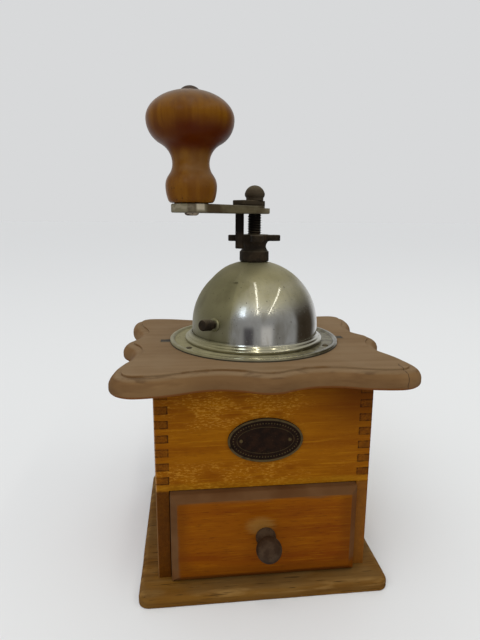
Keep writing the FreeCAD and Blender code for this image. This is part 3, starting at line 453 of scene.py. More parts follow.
# Badge: a stamped oval plate of dark bronze, nailed to the front with two round-headed pins.
# It has a raised rim, a thin raised line inside it and a border of small beads between them.
# Its middle is left plain, mottled by wear.
badge_centre = 86
badge_half_width = 20
badge_half_height = 12.25
badge_field = 0.8
panel_face = -case_half_depth


def oval_ring(inset, proud, count=96):
    ring = []
    for i in range(count):
        angle = 2 * math.pi * i / count
        x = (badge_half_width - inset) * math.cos(angle)
        z = badge_centre + (badge_half_height - inset) * math.sin(angle)
        ring.append((x, panel_face - proud, z))
    return ring


badge_profile = rounded_path(
    [
        (0, 0, 0), (0, 1.4, 0.35), (1.1, 1.4, 0.3), (1.3, badge_field, 0.2), (4.5, badge_field, 0.1),
        (4.65, 1.1, 0.12), (5.0, 1.1, 0.12), (5.15, badge_field, 0.1), (8.5, badge_field + 0.05, 0),
    ],
    steps=4,
)
badge_mesh = bmesh.new()
skin(badge_mesh, [oval_ring(inset, proud) for inset, proud in badge_profile])

dark_bronze, shader, place = new_finish("dark_bronze")
mottle = clouds(place, (0.004, 0.004, 0.003), 5.0)
specks = clouds(place, (0.0007, 0.0007, 0.0007), 2.0, 4.0)
proud_parts = 1 - rise(along(place, "Y"), (panel_face - 1.3) * MM, (panel_face - 0.9) * MM)
colour = blend(rise(mottle, 0.35, 0.7), tint(24, 10, 3), tint(40, 21, 8))
colour = blend(rise(specks, 0.62, 0.72) * 0.4, colour, tint(80, 64, 40))
colour = blend(proud_parts * rise(mottle, 0.2, 0.5) * 0.8, colour, tint(86, 72, 44))
bumps = relief(mottle + specks * 0.3, 0.3, 0.0003)
rough = 0.5 + 0.25 * mottle
feed(shader, Base_Color=colour, Roughness=rough, Metallic=0.2, Normal=bumps, Specular_IOR_Level=0.15)
add_piece("badge_plate_piece", badge_mesh, dark_bronze, "mill_body", ["badge_plate"])


class Tree:
    """A Geometry Nodes tree with named number inputs, run once and turned into a plain mesh."""

    def __init__(self, name, inputs):
        self.tree = bpy.data.node_groups.new(name, "GeometryNodeTree")
        self.values = {}
        for label, value in inputs.items():
            kind = "NodeSocketInt" if isinstance(value, int) else "NodeSocketFloat"
            socket = self.tree.interface.new_socket(label, in_out="INPUT", socket_type=kind)
            self.values[socket.identifier] = value
        self.tree.interface.new_socket("Geometry", in_out="OUTPUT", socket_type="NodeSocketGeometry")
        source = self.tree.nodes.new("NodeGroupInput")
        self.inputs = {label: Field(source.outputs[label]) for label in inputs}
        self.start = Field(source.outputs[0])

    def make(self, kind, settings, inputs, output=0):
        return self.start.make(kind, settings, inputs, output)

    def finish(self, geometry, material):
        """Realizes the instances, sets the material and gives the mesh."""
        whole = self.make("GeometryNodeRealizeInstances", {}, {0: geometry})
        smooth = self.make("GeometryNodeSetShadeSmooth", {}, {0: whole})
        painted = self.make("GeometryNodeSetMaterial", {}, {0: smooth, "Material": material})
        end = self.tree.nodes.new("NodeGroupOutput")
        self.tree.links.new(painted.socket, end.inputs[0])
        carrier = bpy.data.objects.new(self.tree.name, bpy.data.meshes.new(self.tree.name))
        bpy.context.scene.collection.objects.link(carrier)
        modifier = carrier.modifiers.new("nodes", "NODES")
        modifier.node_group = self.tree
        for identifier, value in self.values.items():
            modifier[identifier] = value
        ready = carrier.evaluated_get(bpy.context.evaluated_depsgraph_get())
        mesh = bpy.data.meshes.new_from_object(ready)
        bpy.data.objects.remove(carrier)
        return mesh


def add_made(name, mesh, body, nodes):
    """An object from a mesh that is already in metres."""
    piece = bpy.data.objects.new(name, mesh)
    bpy.context.scene.collection.objects.link(piece)
    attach(piece, body)
    if nodes:
        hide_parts(*nodes)
    return piece


bead_border = Tree(
    "bead_border",
    {"Half Width": 17.2 * MM, "Half Height": 9.45 * MM, "Beads": 56, "Bead Radius": 0.5 * MM},
)
circle = bead_border.make("GeometryNodeCurvePrimitiveCircle", {}, {"Radius": 1.0, "Resolution": 128})
flat_size = bead_border.make(
    "ShaderNodeCombineXYZ", {},
    {0: bead_border.inputs["Half Width"], 1: bead_border.inputs["Half Height"], 2: 1.0},
)
oval = bead_border.make("GeometryNodeTransform", {}, {"Geometry": circle, "Scale": flat_size})
spots = bead_border.make(
    "GeometryNodeCurveToPoints", {"mode": "COUNT"}, {0: oval, "Count": bead_border.inputs["Beads"]}
)
bead = bead_border.make(
    "GeometryNodeMeshUVSphere", {},
    {"Segments": 8, "Rings": 6, "Radius": bead_border.inputs["Bead Radius"]},
)
row = bead_border.make("GeometryNodeInstanceOnPoints", {}, {"Points": spots, "Instance": bead})
stood = bead_border.make(
    "GeometryNodeTransform", {},
    {
        "Geometry": row,
        "Translation": (0, (panel_face - badge_field) * MM, badge_centre * MM),
        "Rotation": (math.radians(90), 0, 0),
    },
)
add_made("badge_border", bead_border.finish(stood, dark_bronze), "mill_body", [])


def turned_piece(mesh_data, profile, segments, closed=False):
    """Turns a section of radius and height about the spindle's axis; a radius of nought is a pole."""
    rows = []
    for radius, height in profile:
        if radius < 1e-6:
            rows.append([mesh_data.verts.new((0, 0, height))])
            continue
        row = []
        for i in range(segments):
            angle = 2 * math.pi * i / segments
            row.append(mesh_data.verts.new((radius * math.cos(angle), radius * math.sin(angle), height)))
        rows.append(row)
    pairs = list(zip(rows, rows[1:]))
    if closed:
        pairs.append((rows[-1], rows[0]))
    for low, high in pairs:
        for i in range(segments):
            j = (i + 1) % segments
            corners = [low[i % len(low)], low[j % len(low)], high[j % len(high)], high[i % len(high)]]
            distinct = list(dict.fromkeys(corners))
            if len(distinct) > 2:
                mesh_data.faces.new(distinct)


def dome_path(radius, low, height, steps=6):
    """A shallow crown from its rim to the axis."""
    ball = (radius ** 2 + height ** 2) / (2 * height)
    rim = math.acos(radius / ball)
    path = []
    for step in range(steps):
        angle = rim + (math.pi / 2 - rim) * step / steps
        path.append((ball * math.cos(angle), low + height - ball + ball * math.sin(angle)))
    return path + [(0, low + height)]


def point_forward(mesh_data, place_at):
    """Turns a piece made on the upright axis to point out of the front, and moves it to its place."""
    turn = Matrix.Rotation(math.radians(90), 3, "X")
    bmesh.ops.rotate(mesh_data, cent=(0, 0, 0), matrix=turn, verts=mesh_data.verts)
    bmesh.ops.translate(mesh_data, vec=place_at, verts=mesh_data.verts)


pins_mesh = bmesh.new()
pin_spread = 13
pin_head = 1.2
pin_crown = 0.7
pin_shank = [(0, -1.0), (0.6, -1.0), (0.6, badge_field), (pin_head, badge_field)]
for pin_x in (-pin_spread, pin_spread):
    pin = bmesh.new()
    turned_piece(pin, pin_shank + dome_path(pin_head, badge_field, pin_crown), 20)
    point_forward(pin, (pin_x, panel_face, badge_centre))
    pin_part = bpy.data.meshes.new("pin")
    pin.to_mesh(pin_part)
    pin.free()
    pins_mesh.from_mesh(pin_part)
add_piece("badge_pin_heads", pins_mesh, dark_bronze, "mill_body", ["badge_pins"])


# Grinding works: the cast cup, its burrs and bars, screwed under the board and inside the dome.
# Grey iron, dark with coffee oil and a little rust; the screws are plain steel.
# The solids' shapes are kept, merged and smoothed.
dark_iron, shader, place = new_finish("dark_iron")
rust = clouds(place, (0.006, 0.006, 0.006), 5.0)
pits = clouds(place, (0.0009, 0.0009, 0.0009), 3.0, 2.2)
height = along(place, "Z")
dust = rise(along(surface_normal(place), "Z"), 0.3, 0.95)
handled = rise(height, 0.2070, 0.2085)
greasy = band(height, 0.1985, 0.005, 0.003)
colour = blend(rise(rust, 0.42, 0.68), tint(36, 29, 21), tint(52, 41, 29))
colour = blend(handled * 0.6, colour, tint(74, 64, 50))
colour = blend(greasy * 0.9, colour, tint(14, 8, 6))
colour = blend(rise(pits, 0.58, 0.75) * (1 - greasy) * 0.4, colour, tint(92, 82, 66))
colour = blend(dust * rise(rust, 0.25, 0.6) * 0.6, colour, tint(102, 92, 74))
bumps = relief(pits + rust * 0.5, 0.3, 0.0003)
rough = 0.5 + 0.3 * rust
feed(shader, Base_Color=colour, Roughness=rough, Metallic=0.25, Normal=bumps, Specular_IOR_Level=0.12)

worn_steel, shader, place = new_finish("worn_steel")
tarnish = clouds(place, (0.008, 0.008, 0.008), 4.0, 1.1)
scratches = clouds(place, (0.0005, 0.0005, 0.009), 2.0)
colour = blend(rise(tarnish, 0.4, 0.7), tint(122, 112, 92), tint(84, 70, 50))
bumps = relief(scratches, 0.15, 0.0002)
feed(shader, Base_Color=colour, Roughness=0.34 + 0.3 * tarnish, Metallic=0.9, Normal=bumps)


def smoothed_node(node, body, material):
    """A merged copy of a solid's mesh, smooth on its round faces, with a new finish."""
    mesh_data = bmesh.new()
    mesh_data.from_mesh(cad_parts[node].data)
    bmesh.ops.remove_doubles(mesh_data, verts=mesh_data.verts, dist=1e-6)
    mesh = bpy.data.meshes.new(node + "_piece")
    mesh_data.to_mesh(mesh)
    mesh_data.free()
    mesh.shade_smooth()
    mesh.set_sharp_from_angle(angle=math.radians(30))
    mesh.materials.clear()
    mesh.materials.append(material)
    return add_made(node + "_piece", mesh, body, [node])


for node in ("burr_housing", "outer_burr", "foot_bridge", "bearing_bridge", "bush_nut"):
    smoothed_node(node, "mill_body", dark_iron)
for node in ("housing_screws", "bridge_screws", "foot_bridge_screws", "base_screws"):
    smoothed_node(node, "mill_body", worn_steel)
spring_piece = smoothed_node("spindle_spring", "mill_body", worn_steel)
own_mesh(spring_piece)
smoothed_node("cone_burr", "crank", dark_iron)
for node in ("spindle_pin", "arm_washer"):
    smoothed_node(node, "crank", worn_steel)
smoothed_node("handle_washer", "crank", dark_iron)
smoothed_node("spring_washer", "spring_washer", worn_steel)


# Top board: a scalloped plank with a rounded edge and a flat field raised inside a small step.
# Stained wood, dull and dusty, redder on its edge; one front corner has an old crack.
# The lugs of the cup are let into slots on both sides of the hopper.
board_half_width, board_half_depth, board_high = solid_box("top_board")[1]
board_low = wall_high
field_step = 1.2
ear = 13.5
notch_depth = 7.2
front_notch = 27
end_notch = 23
lobe_share = 0.36


def s_bend(share_along, start, end, share):
    """Height on two touching arcs that leave the start and reach the end level."""
    run = abs(end[0] - start[0])
    climb = end[1] - start[1]
    whole = (run ** 2 + climb ** 2) / (2 * abs(climb))
    direction = math.copysign(1, climb)
    gone = share_along * run
    if share_along < share:
        radius = share * whole
        return start[1] + direction * (radius - math.sqrt(radius ** 2 - gone ** 2))
    radius = (1 - share) * whole
    left = run - gone
    return end[1] - direction * (radius - math.sqrt(radius ** 2 - left ** 2))


def scalloped_side(half_length, reach, notch, steps=14):
    """One side of the board, from its first ear to the next, as length and reach."""
    ear_at = half_length - ear
    valley = reach - notch_depth
    knots = [
        ((-ear_at, reach), (-notch, valley), 1 - lobe_share),
        ((-notch, valley), (0, reach), 1 - lobe_share),
        ((0, reach), (notch, valley), lobe_share),
        ((notch, valley), (ear_at, reach), lobe_share),
    ]
    points = []
    for start, end, share in knots:
        for step in range(steps):
            part = step / steps
            points.append((start[0] + part * (end[0] - start[0]), s_bend(part, start, end, share)))
    for step in range(steps):
        angle = math.radians(90 - 90 * step / steps)
        points.append((ear_at + ear * math.cos(angle), reach - ear + ear * math.sin(angle)))
    return points


front_side = scalloped_side(board_half_width, board_half_depth, front_notch)
end_side = scalloped_side(board_half_depth, board_half_width, end_notch)
board_outline = [Vector((length, -reach)) for length, reach in front_side]
board_outline += [Vector((reach, length)) for length, reach in end_side]
board_outline += [Vector((-length, reach)) for length, reach in front_side]
board_outline += [Vector((-reach, -length)) for length, reach in end_side]

slab_high = board_high - field_step
field_inset = 6.2
board_levels = rounded_path(
    [
        (12, board_low, 0), (0, board_low, 2.2), (0, slab_high, 5.0), (field_inset, slab_high, 0.25),
        (field_inset, board_high, 0.35), (9, board_high, 0),
    ],
    steps=8,
)
board_dent_depth = 0.3
board_dent_size = 11
board_rings = []
for inset, level in board_levels:
    board_rings.append(worn_ring(inset_ring(board_outline, inset, level), board_dent_depth, board_dent_size))
cup_hole = 35.03
inner_rings = []
for level in (board_high, board_low):
    inner_rings.append([(*(point.normalized() * cup_hole), level) for point in board_outline])
board_mesh = bmesh.new()
skin(board_mesh, board_rings + inner_rings, closed=True)

dusty_board, shader, place = new_finish("dusty_board")
streaks = clouds(place, grain_size("X", 0.005, 0.11), 4.0)
fine = clouds(place, grain_size("X", 0.0007, 0.018), 3.0, 4.4)
stain = clouds(place, (0.028, 0.028, 0.028), 4.0, 7.0)
facing = along(surface_normal(place), "Z")
colour = blend(rise(streaks, 0.35, 0.68), tint(124, 101, 75), tint(114, 91, 65))
colour = blend(rise(stain, 0.45, 0.7) * 0.5, colour, tint(128, 108, 84))
colour = blend(rise(fine, 0.55, 0.72) * 0.2, colour, tint(98, 75, 52))
edge_part = 1 - rise(facing, 0.75, 0.99)
edge_colour = blend(rise(stain, 0.35, 0.65), tint(115, 87, 56), tint(99, 71, 42))
colour = blend(edge_part * 0.85, colour, edge_colour)
scuffs = rise(clouds(place, (0.016, 0.016, 0.0035), 5.0, 3.9), 0.50, 0.70)
colour = blend(edge_part * scuffs * 0.35, colour, tint(78, 52, 30))
under = 1 - rise(facing, -0.6, -0.1)
colour = blend(under * 0.85, colour, tint(112, 62, 18))
# Dust settled on the step of the field, and dirt on the ledge in front of it
level = along(place, "Z")
slab_line = slab_high * MM
settled = rise(clouds(place, (0.011, 0.011, 0.011), 4.0, 8.3), 0.38, 0.58)
step_part = rise(level, slab_line - 0.0001, slab_line + 0.0002) * edge_part
colour = blend(step_part * settled * 0.8, colour, tint(122, 101, 76))
dirt = rise(clouds(place, (0.010, 0.005, 0.005), 5.0, 1.7), 0.50, 0.66)
ledge = band(level, slab_line - 0.0005, 0.0005, 0.0004) * (1 - rise(along(place, "Y"), -0.062, -0.054))
colour = blend(ledge * dirt * 0.5, colour, tint(70, 50, 33))
# The crack in the right front corner
wander = (clouds(place, (0.006, 0.006, 0.006), 2.0) - 0.5) * 0.004
crack_end = 1 - rise(along(place, "Y"), -0.062, -0.056)
crack = band(along(place, "X") + wander, 0.0665, 0.00012, 0.00025) * crack_end
colour = blend(crack * 0.8, colour, tint(48, 34, 24))
height = streaks * 0.6 + fine * 0.6 + stain * 0.4 - crack * 2.0
bumps = relief(height, 0.2, 0.0004)
feed(shader, Base_Color=colour, Roughness=0.72 + 0.2 * stain, Normal=bumps, Specular_IOR_Level=0.1)
top_board = add_piece(
    "top_board_piece", board_mesh, dusty_board, "mill_body", ["top_board"], sharp=40
)


def cut_box(piece, size, centre, degrees=0):
    """Cuts a box out of a piece; the box is turned about the spindle's axis after it is placed."""
    box = bmesh.new()
    bmesh.ops.create_cube(box, size=MM)
    bmesh.ops.scale(box, vec=size, verts=box.verts)
    bmesh.ops.translate(box, vec=[value * MM for value in centre], verts=box.verts)
    turn = Matrix.Rotation(math.radians(degrees), 3, "Z")
    bmesh.ops.rotate(box, cent=(0, 0, 0), matrix=turn, verts=box.verts)
    mesh = bpy.data.meshes.new("cutter")
    box.to_mesh(mesh)
    box.free()
    cutter = bpy.data.objects.new("cutter", mesh)
    bpy.context.scene.collection.objects.link(cutter)
    cut = piece.modifiers.new("cut", "BOOLEAN")
    cut.operation = "DIFFERENCE"
    cut.object = cutter
    cut.solver = "EXACT"
    ready = piece.evaluated_get(bpy.context.evaluated_depsgraph_get())
    cut_mesh = bpy.data.meshes.new_from_object(ready)
    piece.modifiers.remove(cut)
    piece.data = cut_mesh
    bpy.data.objects.remove(cutter)


lug_slot = (112.0, 6.6, 6.1)
cut_box(top_board, lug_slot, (0, 0, board_high))


# Hopper: a sheet ring nailed to the board, and a spun dome with a rolled foot standing on it.
# Nickelled steel, worn to an olive grey with small dark pits, brighter where hands rub it.
# A sliding door inside the dome fills the opening on its left, moved by a ribbed knob.
dome_radius = 38
dome_centre = 138
dome_foot = solid_box("hopper_dome")[0][2]
columns = 144


def bearing_of(place):
    """The turn about the upright axis, nought at the front and growing to the right."""
    forward = 0 - along(place, "Y")
    return place.make("ShaderNodeMath", {"operation": "ARCTAN2"}, {0: along(place, "X"), 1: forward})


worn_nickel, shader, place = new_finish("worn_nickel")
cloudy = clouds(place, (0.016, 0.016, 0.022), 4.0)
veil = clouds(place, (0.004, 0.004, 0.010), 4.0, 3.3)
pits = clouds(place, (0.0011, 0.0011, 0.0011), 2.0, 6.1)
spots = rise(pits, 0.685, 0.735)
pin_holes = rise(clouds(place, (0.0007, 0.0007, 0.0007), 2.0, 3.1), 0.50, 0.60)
height = along(place, "Z")
side = along(place, "X")
bearing = bearing_of(place)
# Tarnish on the upper part and on the left
centre_line = dome_centre * MM
olive = rise(height, centre_line + 0.002, centre_line + 0.024)
left_tarnish = band(bearing + (cloudy - 0.5) * 0.3, -1.55, 0.95, 0.22)
tone = rise(cloudy * 0.4 + olive * 0.5 + left_tarnish * 0.4, 0.25, 0.75)
colour = blend(tone, tint(178, 177, 172), tint(142, 136, 103))
colour = blend(left_tarnish * 0.75, colour, tint(114, 109, 78))
colour = blend(rise(veil, 0.48, 0.72) * 0.35, colour, tint(118, 111, 84))
colour = blend(rise(cloudy, 0.50, 0.68) * (0.2 + 0.3 * left_tarnish), colour, tint(92, 86, 60))
# A painted reflection: the crown is painted paler, as if lit by the bright ceiling
crown = rise(height, centre_line + 0.025, centre_line + 0.036)
colour = blend(crown * 0.5, colour, tint(160, 152, 118))
# Dull foot, a grimy ring with a painted dark reflection on its right side, and a painted contact shadow,
# partly grime, where the ring sits on the board
foot_line = dome_foot * MM
foot = 1 - rise(height, foot_line + 0.0032, foot_line + 0.005)
colour = blend(foot * 0.85, colour, tint(152, 146, 113))
ring_grime = 1 - rise(height, foot_line + 0.0013, foot_line + 0.0022)
ring_flat = 1 - rise(height, foot_line + 0.0001, foot_line + 0.0007)
# Grime on the ring, stronger and darker on the right, where a dark reflection is painted
ring_grime_and_right_shade = 0.4 + 0.3 * rise(veil, 0.4, 0.6) + 0.3 * rise(side, 0.0, 0.03)
ring_grime_and_shade_colour = blend(rise(side, 0.0, 0.035), tint(128, 121, 90), tint(84, 77, 54))
colour = blend(ring_grime * ring_grime_and_right_shade, colour, ring_grime_and_shade_colour)
# Painted contact shadow, partly grime, where the ring sits on the board
seat_shadow_and_grime = 1 - rise(height, foot_line - 0.0005, foot_line)
colour = blend(seat_shadow_and_grime * 0.95, colour, tint(30, 25, 17))
colour = blend(spots * 0.85, colour, tint(38, 30, 22))
# Dull where tarnished and pitted, with a bright coat where hands rub it
dulled = rise(height, centre_line + 0.006, centre_line + 0.027)
rough = 0.13 + 0.04 * tone + 0.06 * veil + 0.3 * dulled + 0.3 * spots + 0.2 * left_tarnish
rough = rough + 0.06 * ring_grime + 0.45 * ring_flat
shine = 1 - 0.6 * spots - 0.1 * ring_grime - 0.2 * seat_shadow_and_grime - 0.6 * ring_flat
shine = shine - 0.3 * rise(dulled + left_tarnish, 0, 1)
bumps = relief(veil * 0.4 - spots * 0.6, 0.1, 0.0003)
below_crown = 1 - rise(height, centre_line + 0.0245, centre_line + 0.0305)
polished = band(bearing, 0.95, 1.10, 0.25) * below_crown * (1 - 0.7 * ring_grime)
polish = 0.9 * (1 - spots) * (1 - seat_shadow_and_grime) * (1 - 0.8 * pin_holes * dulled) * polished
feed(shader, Base_Color=colour, Roughness=rough, Metallic=shine, Normal=bumps)
feed(shader, Coat_Weight=polish, Coat_Roughness=0.07, Coat_IOR=2.1)

flange_inner = 36.1
flange_outer = 50.25
lip_top = solid_box("hopper_flange")[1][2]
flange_mesh = bmesh.new()
flange_section = rounded_path(
    [
        (flange_inner, board_high, 0), (flange_outer, board_high, 0.25), (flange_outer, lip_top, 0.8),
        (48.5, lip_top, 0.8), (47.3, dome_foot, 0.5), (flange_inner, dome_foot, 0),
    ]
)
turned_piece(flange_mesh, flange_section, columns, closed=True)
add_piece("hopper_flange_piece", flange_mesh, worn_nickel, "mill_body", ["hopper_flange"])


def sheet_shell(mesh_data, stations, columns, filled):
    """A sheet bent round the axis; each station has an outer and an inner point, each cell may be open."""
    outer = []
    inner = []
    for outer_point, inner_point in stations:
        for rows, (radius, height) in ((outer, outer_point), (inner, inner_point)):
            row = []
            for column in range(columns):
                angle = 2 * math.pi * column / columns
                row.append(mesh_data.verts.new((radius * math.cos(angle), radius * math.sin(angle), height)))
            rows.append(row)
    last = len(stations) - 1
    for level in range(last):
        for column in range(columns):
            if not filled(level, column):
                continue
            after = (column + 1) % columns
            before = (column - 1) % columns
            low, high = outer[level], outer[level + 1]
            low_in, high_in = inner[level], inner[level + 1]
            mesh_data.faces.new((low[column], low[after], high[after], high[column]))
            mesh_data.faces.new((low_in[column], high_in[column], high_in[after], low_in[after]))
            if level == 0 or not filled(level - 1, column):
                mesh_data.faces.new((low[column], low_in[column], low_in[after], low[after]))
            if level == last - 1 or not filled(level + 1, column):
                mesh_data.faces.new((high[column], high[after], high_in[after], high_in[column]))
            if not filled(level, after):
                mesh_data.faces.new((low[after], low_in[after], high_in[after], high[after]))
            if not filled(level, before):
                mesh_data.faces.new((low[column], high[column], high_in[column], low_in[column]))
    bmesh.ops.delete(mesh_data, geom=[v for v in mesh_data.verts if not v.link_faces], context="VERTS")


def dome_stations(radius, sheet, skirt_heights, angles):
    stations = [((radius, z), (radius - sheet, z)) for z in skirt_heights]
    for degrees in angles:
        turn = math.radians(degrees)
        outer = (radius * math.cos(turn), dome_centre + radius * math.sin(turn))
        thin = radius - sheet
        stations.append((outer, (thin * math.cos(turn), dome_centre + thin * math.sin(turn))))
    return stations


def left_of_front(column):
    """How far a column's middle lies to the left of the front, in degrees."""
    return (270 - (column + 0.5) * 360 / columns) % 360


dome_sheet = 0.8
head_height = 28
head_angle = math.degrees(math.asin(head_height / dome_radius))
dome_angles = [4 * step for step in range(12)] + [head_angle] + [51 + 4 * step for step in range(8)] + [80.8]
dome_skirt = [dome_foot, 132, 133.9, 136]
dome_rows = dome_stations(dome_radius, dome_sheet, dome_skirt, dome_angles)
sill_row = 2
opening_start = 27.5
opening_end = 130
head_row = len(dome_skirt) + dome_angles.index(head_angle)


def dome_filled(level, column):
    in_height = sill_row <= level < head_row
    return not (in_height and opening_start < left_of_front(column) < opening_end)


dome_mesh = bmesh.new()
sheet_shell(dome_mesh, dome_rows, columns, dome_filled)
lip_end = 64
lip_run = 8
outer_draw = 1.06
inner_draw = 0.28
middle = Vector((0, 0, dome_centre))
for vertex in dome_mesh.verts:
    reach = math.hypot(vertex.co.x, vertex.co.y)
    slope = math.degrees(math.atan2(vertex.co.z - dome_centre, reach))
    turned_left = math.degrees(math.atan2(-vertex.co.x, -vertex.co.y)) % 360
    inside = min(turned_left - opening_start, opening_end - turned_left)
    share = max(0, min(1, inside / lip_run)) * max(0, min(1, (lip_end - slope) / (lip_end - head_angle)))
    outer = math.hypot(reach, vertex.co.z - dome_centre) > dome_radius - dome_sheet / 2
    if slope > head_angle - 1:
        drawn_in = 1 - (outer_draw if outer else inner_draw) * share / dome_radius
        vertex.co = middle + (vertex.co - middle) * drawn_in
foot_section = rounded_path(
    [
        (37.5, dome_foot, 0), (41.25, dome_foot, 1.24), (41.25, 131.5, 1.24), (39.75, 131.5, 0.25),
        (39.3, 132.5, 0.35), (38.35, 132.7, 0.6), (38.02, 133.7, 0), (37.5, 133.7, 0),
    ]
)
turned_piece(dome_mesh, foot_section, columns, closed=True)
dome = add_piece("hopper_dome_piece", dome_mesh, worn_nickel, "mill_body", ["hopper_dome"])
soft_edge = dome.modifiers.new("soft edges", "BEVEL")
soft_edge.width = 0.1 * MM
soft_edge.segments = 2
soft_edge.angle_limit = math.radians(50)

door_angles = [4 * step for step in range(18)] + [70, 73, 76, 79.9]
door_radius = 36.9
door_skirt = [129.3, 132.5, 135.5]
door_overlap = 5
door_rows = dome_stations(door_radius, dome_sheet, door_skirt, door_angles)
eye_row = len(door_skirt) + door_angles.index(70)


def door_filled(level, column):
    in_turn = opening_start - door_overlap < left_of_front(column) < opening_end + door_overlap
    return level >= eye_row or in_turn


door_mesh = bmesh.new()
sheet_shell(door_mesh, door_rows, columns, door_filled)
add_piece("hopper_door_piece", door_mesh, worn_nickel, "hopper_door", ["hopper_door"])


def lay_on_door(mesh_data):
    """Lays a turned piece along the door knob's axis, with nought at the door's face."""
    knob_rise = 5.0
    knob_left_of_front = 43.5
    slope = math.asin(knob_rise / door_radius)
    tilt = Matrix.Rotation(math.pi / 2 - slope, 3, "Y")
    turn = Matrix.Rotation(math.radians(270 - knob_left_of_front), 3, "Z") @ tilt
    bmesh.ops.translate(mesh_data, vec=(0, 0, door_radius), verts=mesh_data.verts)
    bmesh.ops.rotate(mesh_data, cent=(0, 0, 0), matrix=turn, verts=mesh_data.verts)
    bmesh.ops.translate(mesh_data, vec=(0, 0, dome_centre), verts=mesh_data.verts)


rosette_mesh = bmesh.new()
rosette_corners = [(0, -0.2, 0), (3.7, -0.2, 0), (3.7, 0.6, 0.2), (3.0, 1.2, 0.4), (0, 1.2, 0)]
turned_piece(rosette_mesh, rounded_path(rosette_corners), 40)
lay_on_door(rosette_mesh)
add_piece("door_rosette_piece", rosette_mesh, worn_nickel, "hopper_door", ["door_rosette"])

rib_valley = 2.65
rib_depth = 0.45
rib_first = 3.4
rib_pitch = 1.7
knob_section = [(0, -1.6), (1.4, -1.6), (1.4, 1.2), (2.2, 1.2), (2.2, 3.3), (rib_valley, rib_first)]
for rib in range(4):
    for step in range(1, 9):
        share = step / 8
        swell = rib_depth * math.sin(math.pi * share)
        knob_section.append((rib_valley + swell, rib_first + rib_pitch * (rib + share)))
knob_section += [(1.8, 10.2), (0, 10.2)]
door_knob_mesh = bmesh.new()
turned_piece(door_knob_mesh, knob_section, 32)
lay_on_door(door_knob_mesh)
add_piece("door_knob_piece", door_knob_mesh, dark_iron, "hopper_door", ["door_knob"])

nail_turn = -31
nails = Tree(
    "flange_nail_heads",
    {"Ring Radius": 44.85 * MM, "Nails": 3, "Head Radius": 1.7 * MM, "Level": dome_foot * MM},
)
ring = nails.make(
    "GeometryNodeMeshCircle", {},
    {"Vertices": nails.inputs["Nails"], "Radius": nails.inputs["Ring Radius"]},
)
head = nails.make(
    "GeometryNodeMeshUVSphere", {},
    {"Segments": 20, "Rings": 10, "Radius": nails.inputs["Head Radius"]},
)
flat_head = nails.make("GeometryNodeTransform", {}, {"Geometry": head, "Scale": (1, 1, 0.4)})
spread = nails.make("GeometryNodeInstanceOnPoints", {}, {"Points": ring, "Instance": flat_head})
lifted = nails.make("ShaderNodeCombineXYZ", {}, {2: nails.inputs["Level"]})
placed = nails.make(
    "GeometryNodeTransform", {},
    {"Geometry": spread, "Translation": lifted, "Rotation": (0, 0, math.radians(nail_turn))},
)
add_made("flange_nail_heads", nails.finish(placed, dark_iron), "mill_body", ["flange_nails"])


# Bearing bush: a turned collar on top of the dome, its stem passing through dome, door and strap.
# Blackened iron, rubbed on its edges.
bush_bore = 4.05
bush_stem = 6.0
bush_collar = 8.6
bush_low = 165.3
bush_high = 181.5
bush_mesh = bmesh.new()
bush_section = rounded_path(
    [
        (bush_bore, bush_low, 0), (bush_stem, bush_low, 0), (bush_stem, 175.5, 0), (bush_collar, 175.55, 0.5),
        (bush_collar, bush_high, 0.7), (bush_bore, bush_high, 0),
    ]
)
turned_piece(bush_mesh, bush_section, 64, closed=True)
add_piece("bearing_bush_piece", bush_mesh, dark_iron, "mill_body", ["bearing_bush"])


# Spindle: a steel bar through the whole mill, threaded where the adjusting wheel runs.
# The thread is a real helix, black with grease; the top carries the arm and the cap nut.
arm_low = 202.72
thread_core = 3.45
spindle_mesh = bmesh.new()
spindle_section = [
    (0, 77), (3, 77), (3, 87), (4, 87), (4, bush_high), (thread_core, 182), (thread_core, 202.7),
    (3.3, arm_low), (3.3, 205.8), (3.2, 205.8), (3.2, 215.6), (0, 215.6),
]
turned_piece(spindle_mesh, spindle_section, 48)
add_piece("spindle_piece", spindle_mesh, dark_iron, "crank", ["spindle"], sharp=30)

thread = Tree(
    "spindle_thread",
    {"Core": 3.4 * MM, "Length": 20.2 * MM, "Turns": 14.4, "Start": 182.2 * MM},
)
helix = thread.make(
    "GeometryNodeCurveSpiral", {},
    {
        "Resolution": 40, "Rotations": thread.inputs["Turns"], "Start Radius": thread.inputs["Core"],
        "End Radius": thread.inputs["Core"], "Height": thread.inputs["Length"],
    },
)
tooth = thread.make("GeometryNodeCurvePrimitiveCircle", {}, {"Resolution": 4, "Radius": 0.6 * MM})
ridge = thread.make(
    "GeometryNodeCurveToMesh", {}, {"Curve": helix, "Profile Curve": tooth, "Fill Caps": True}
)
start_height = thread.make("ShaderNodeCombineXYZ", {}, {2: thread.inputs["Start"]})
set_up = thread.make("GeometryNodeTransform", {}, {"Geometry": ridge, "Translation": start_height})
add_made("spindle_thread", thread.finish(set_up, dark_iron), "crank", [])


# Adjusting wheel: a cast hub that stands on the bush, with a disc and four round-ended lugs.
# Dark iron; turning it on the thread lifts the spindle and closes the burrs.
hub_bore = 4.06
disc_low = 187.0
disc_high = 191.0
disc_radius = 8.6
wheel_section = [(hub_bore, bush_high + 0.02)]
for step in range(11):
    waist = 8.0 - 1.1 * math.sin(math.pi * step / 10)
    wheel_section.append((waist, bush_high + (disc_low - bush_high) * step / 10))
disc_corners = [
    (8.1, disc_low, 0), (disc_radius, disc_low, 0.4), (disc_radius, disc_high, 0.6), (hub_bore, disc_high, 0),
]
wheel_section += rounded_path(disc_corners)
wheel_mesh = bmesh.new()
turned_piece(wheel_mesh, wheel_section, 64, closed=True)
add_piece("wheel_hub", wheel_mesh, dark_iron, "adjusting_wheel", ["adjusting_wheel"])

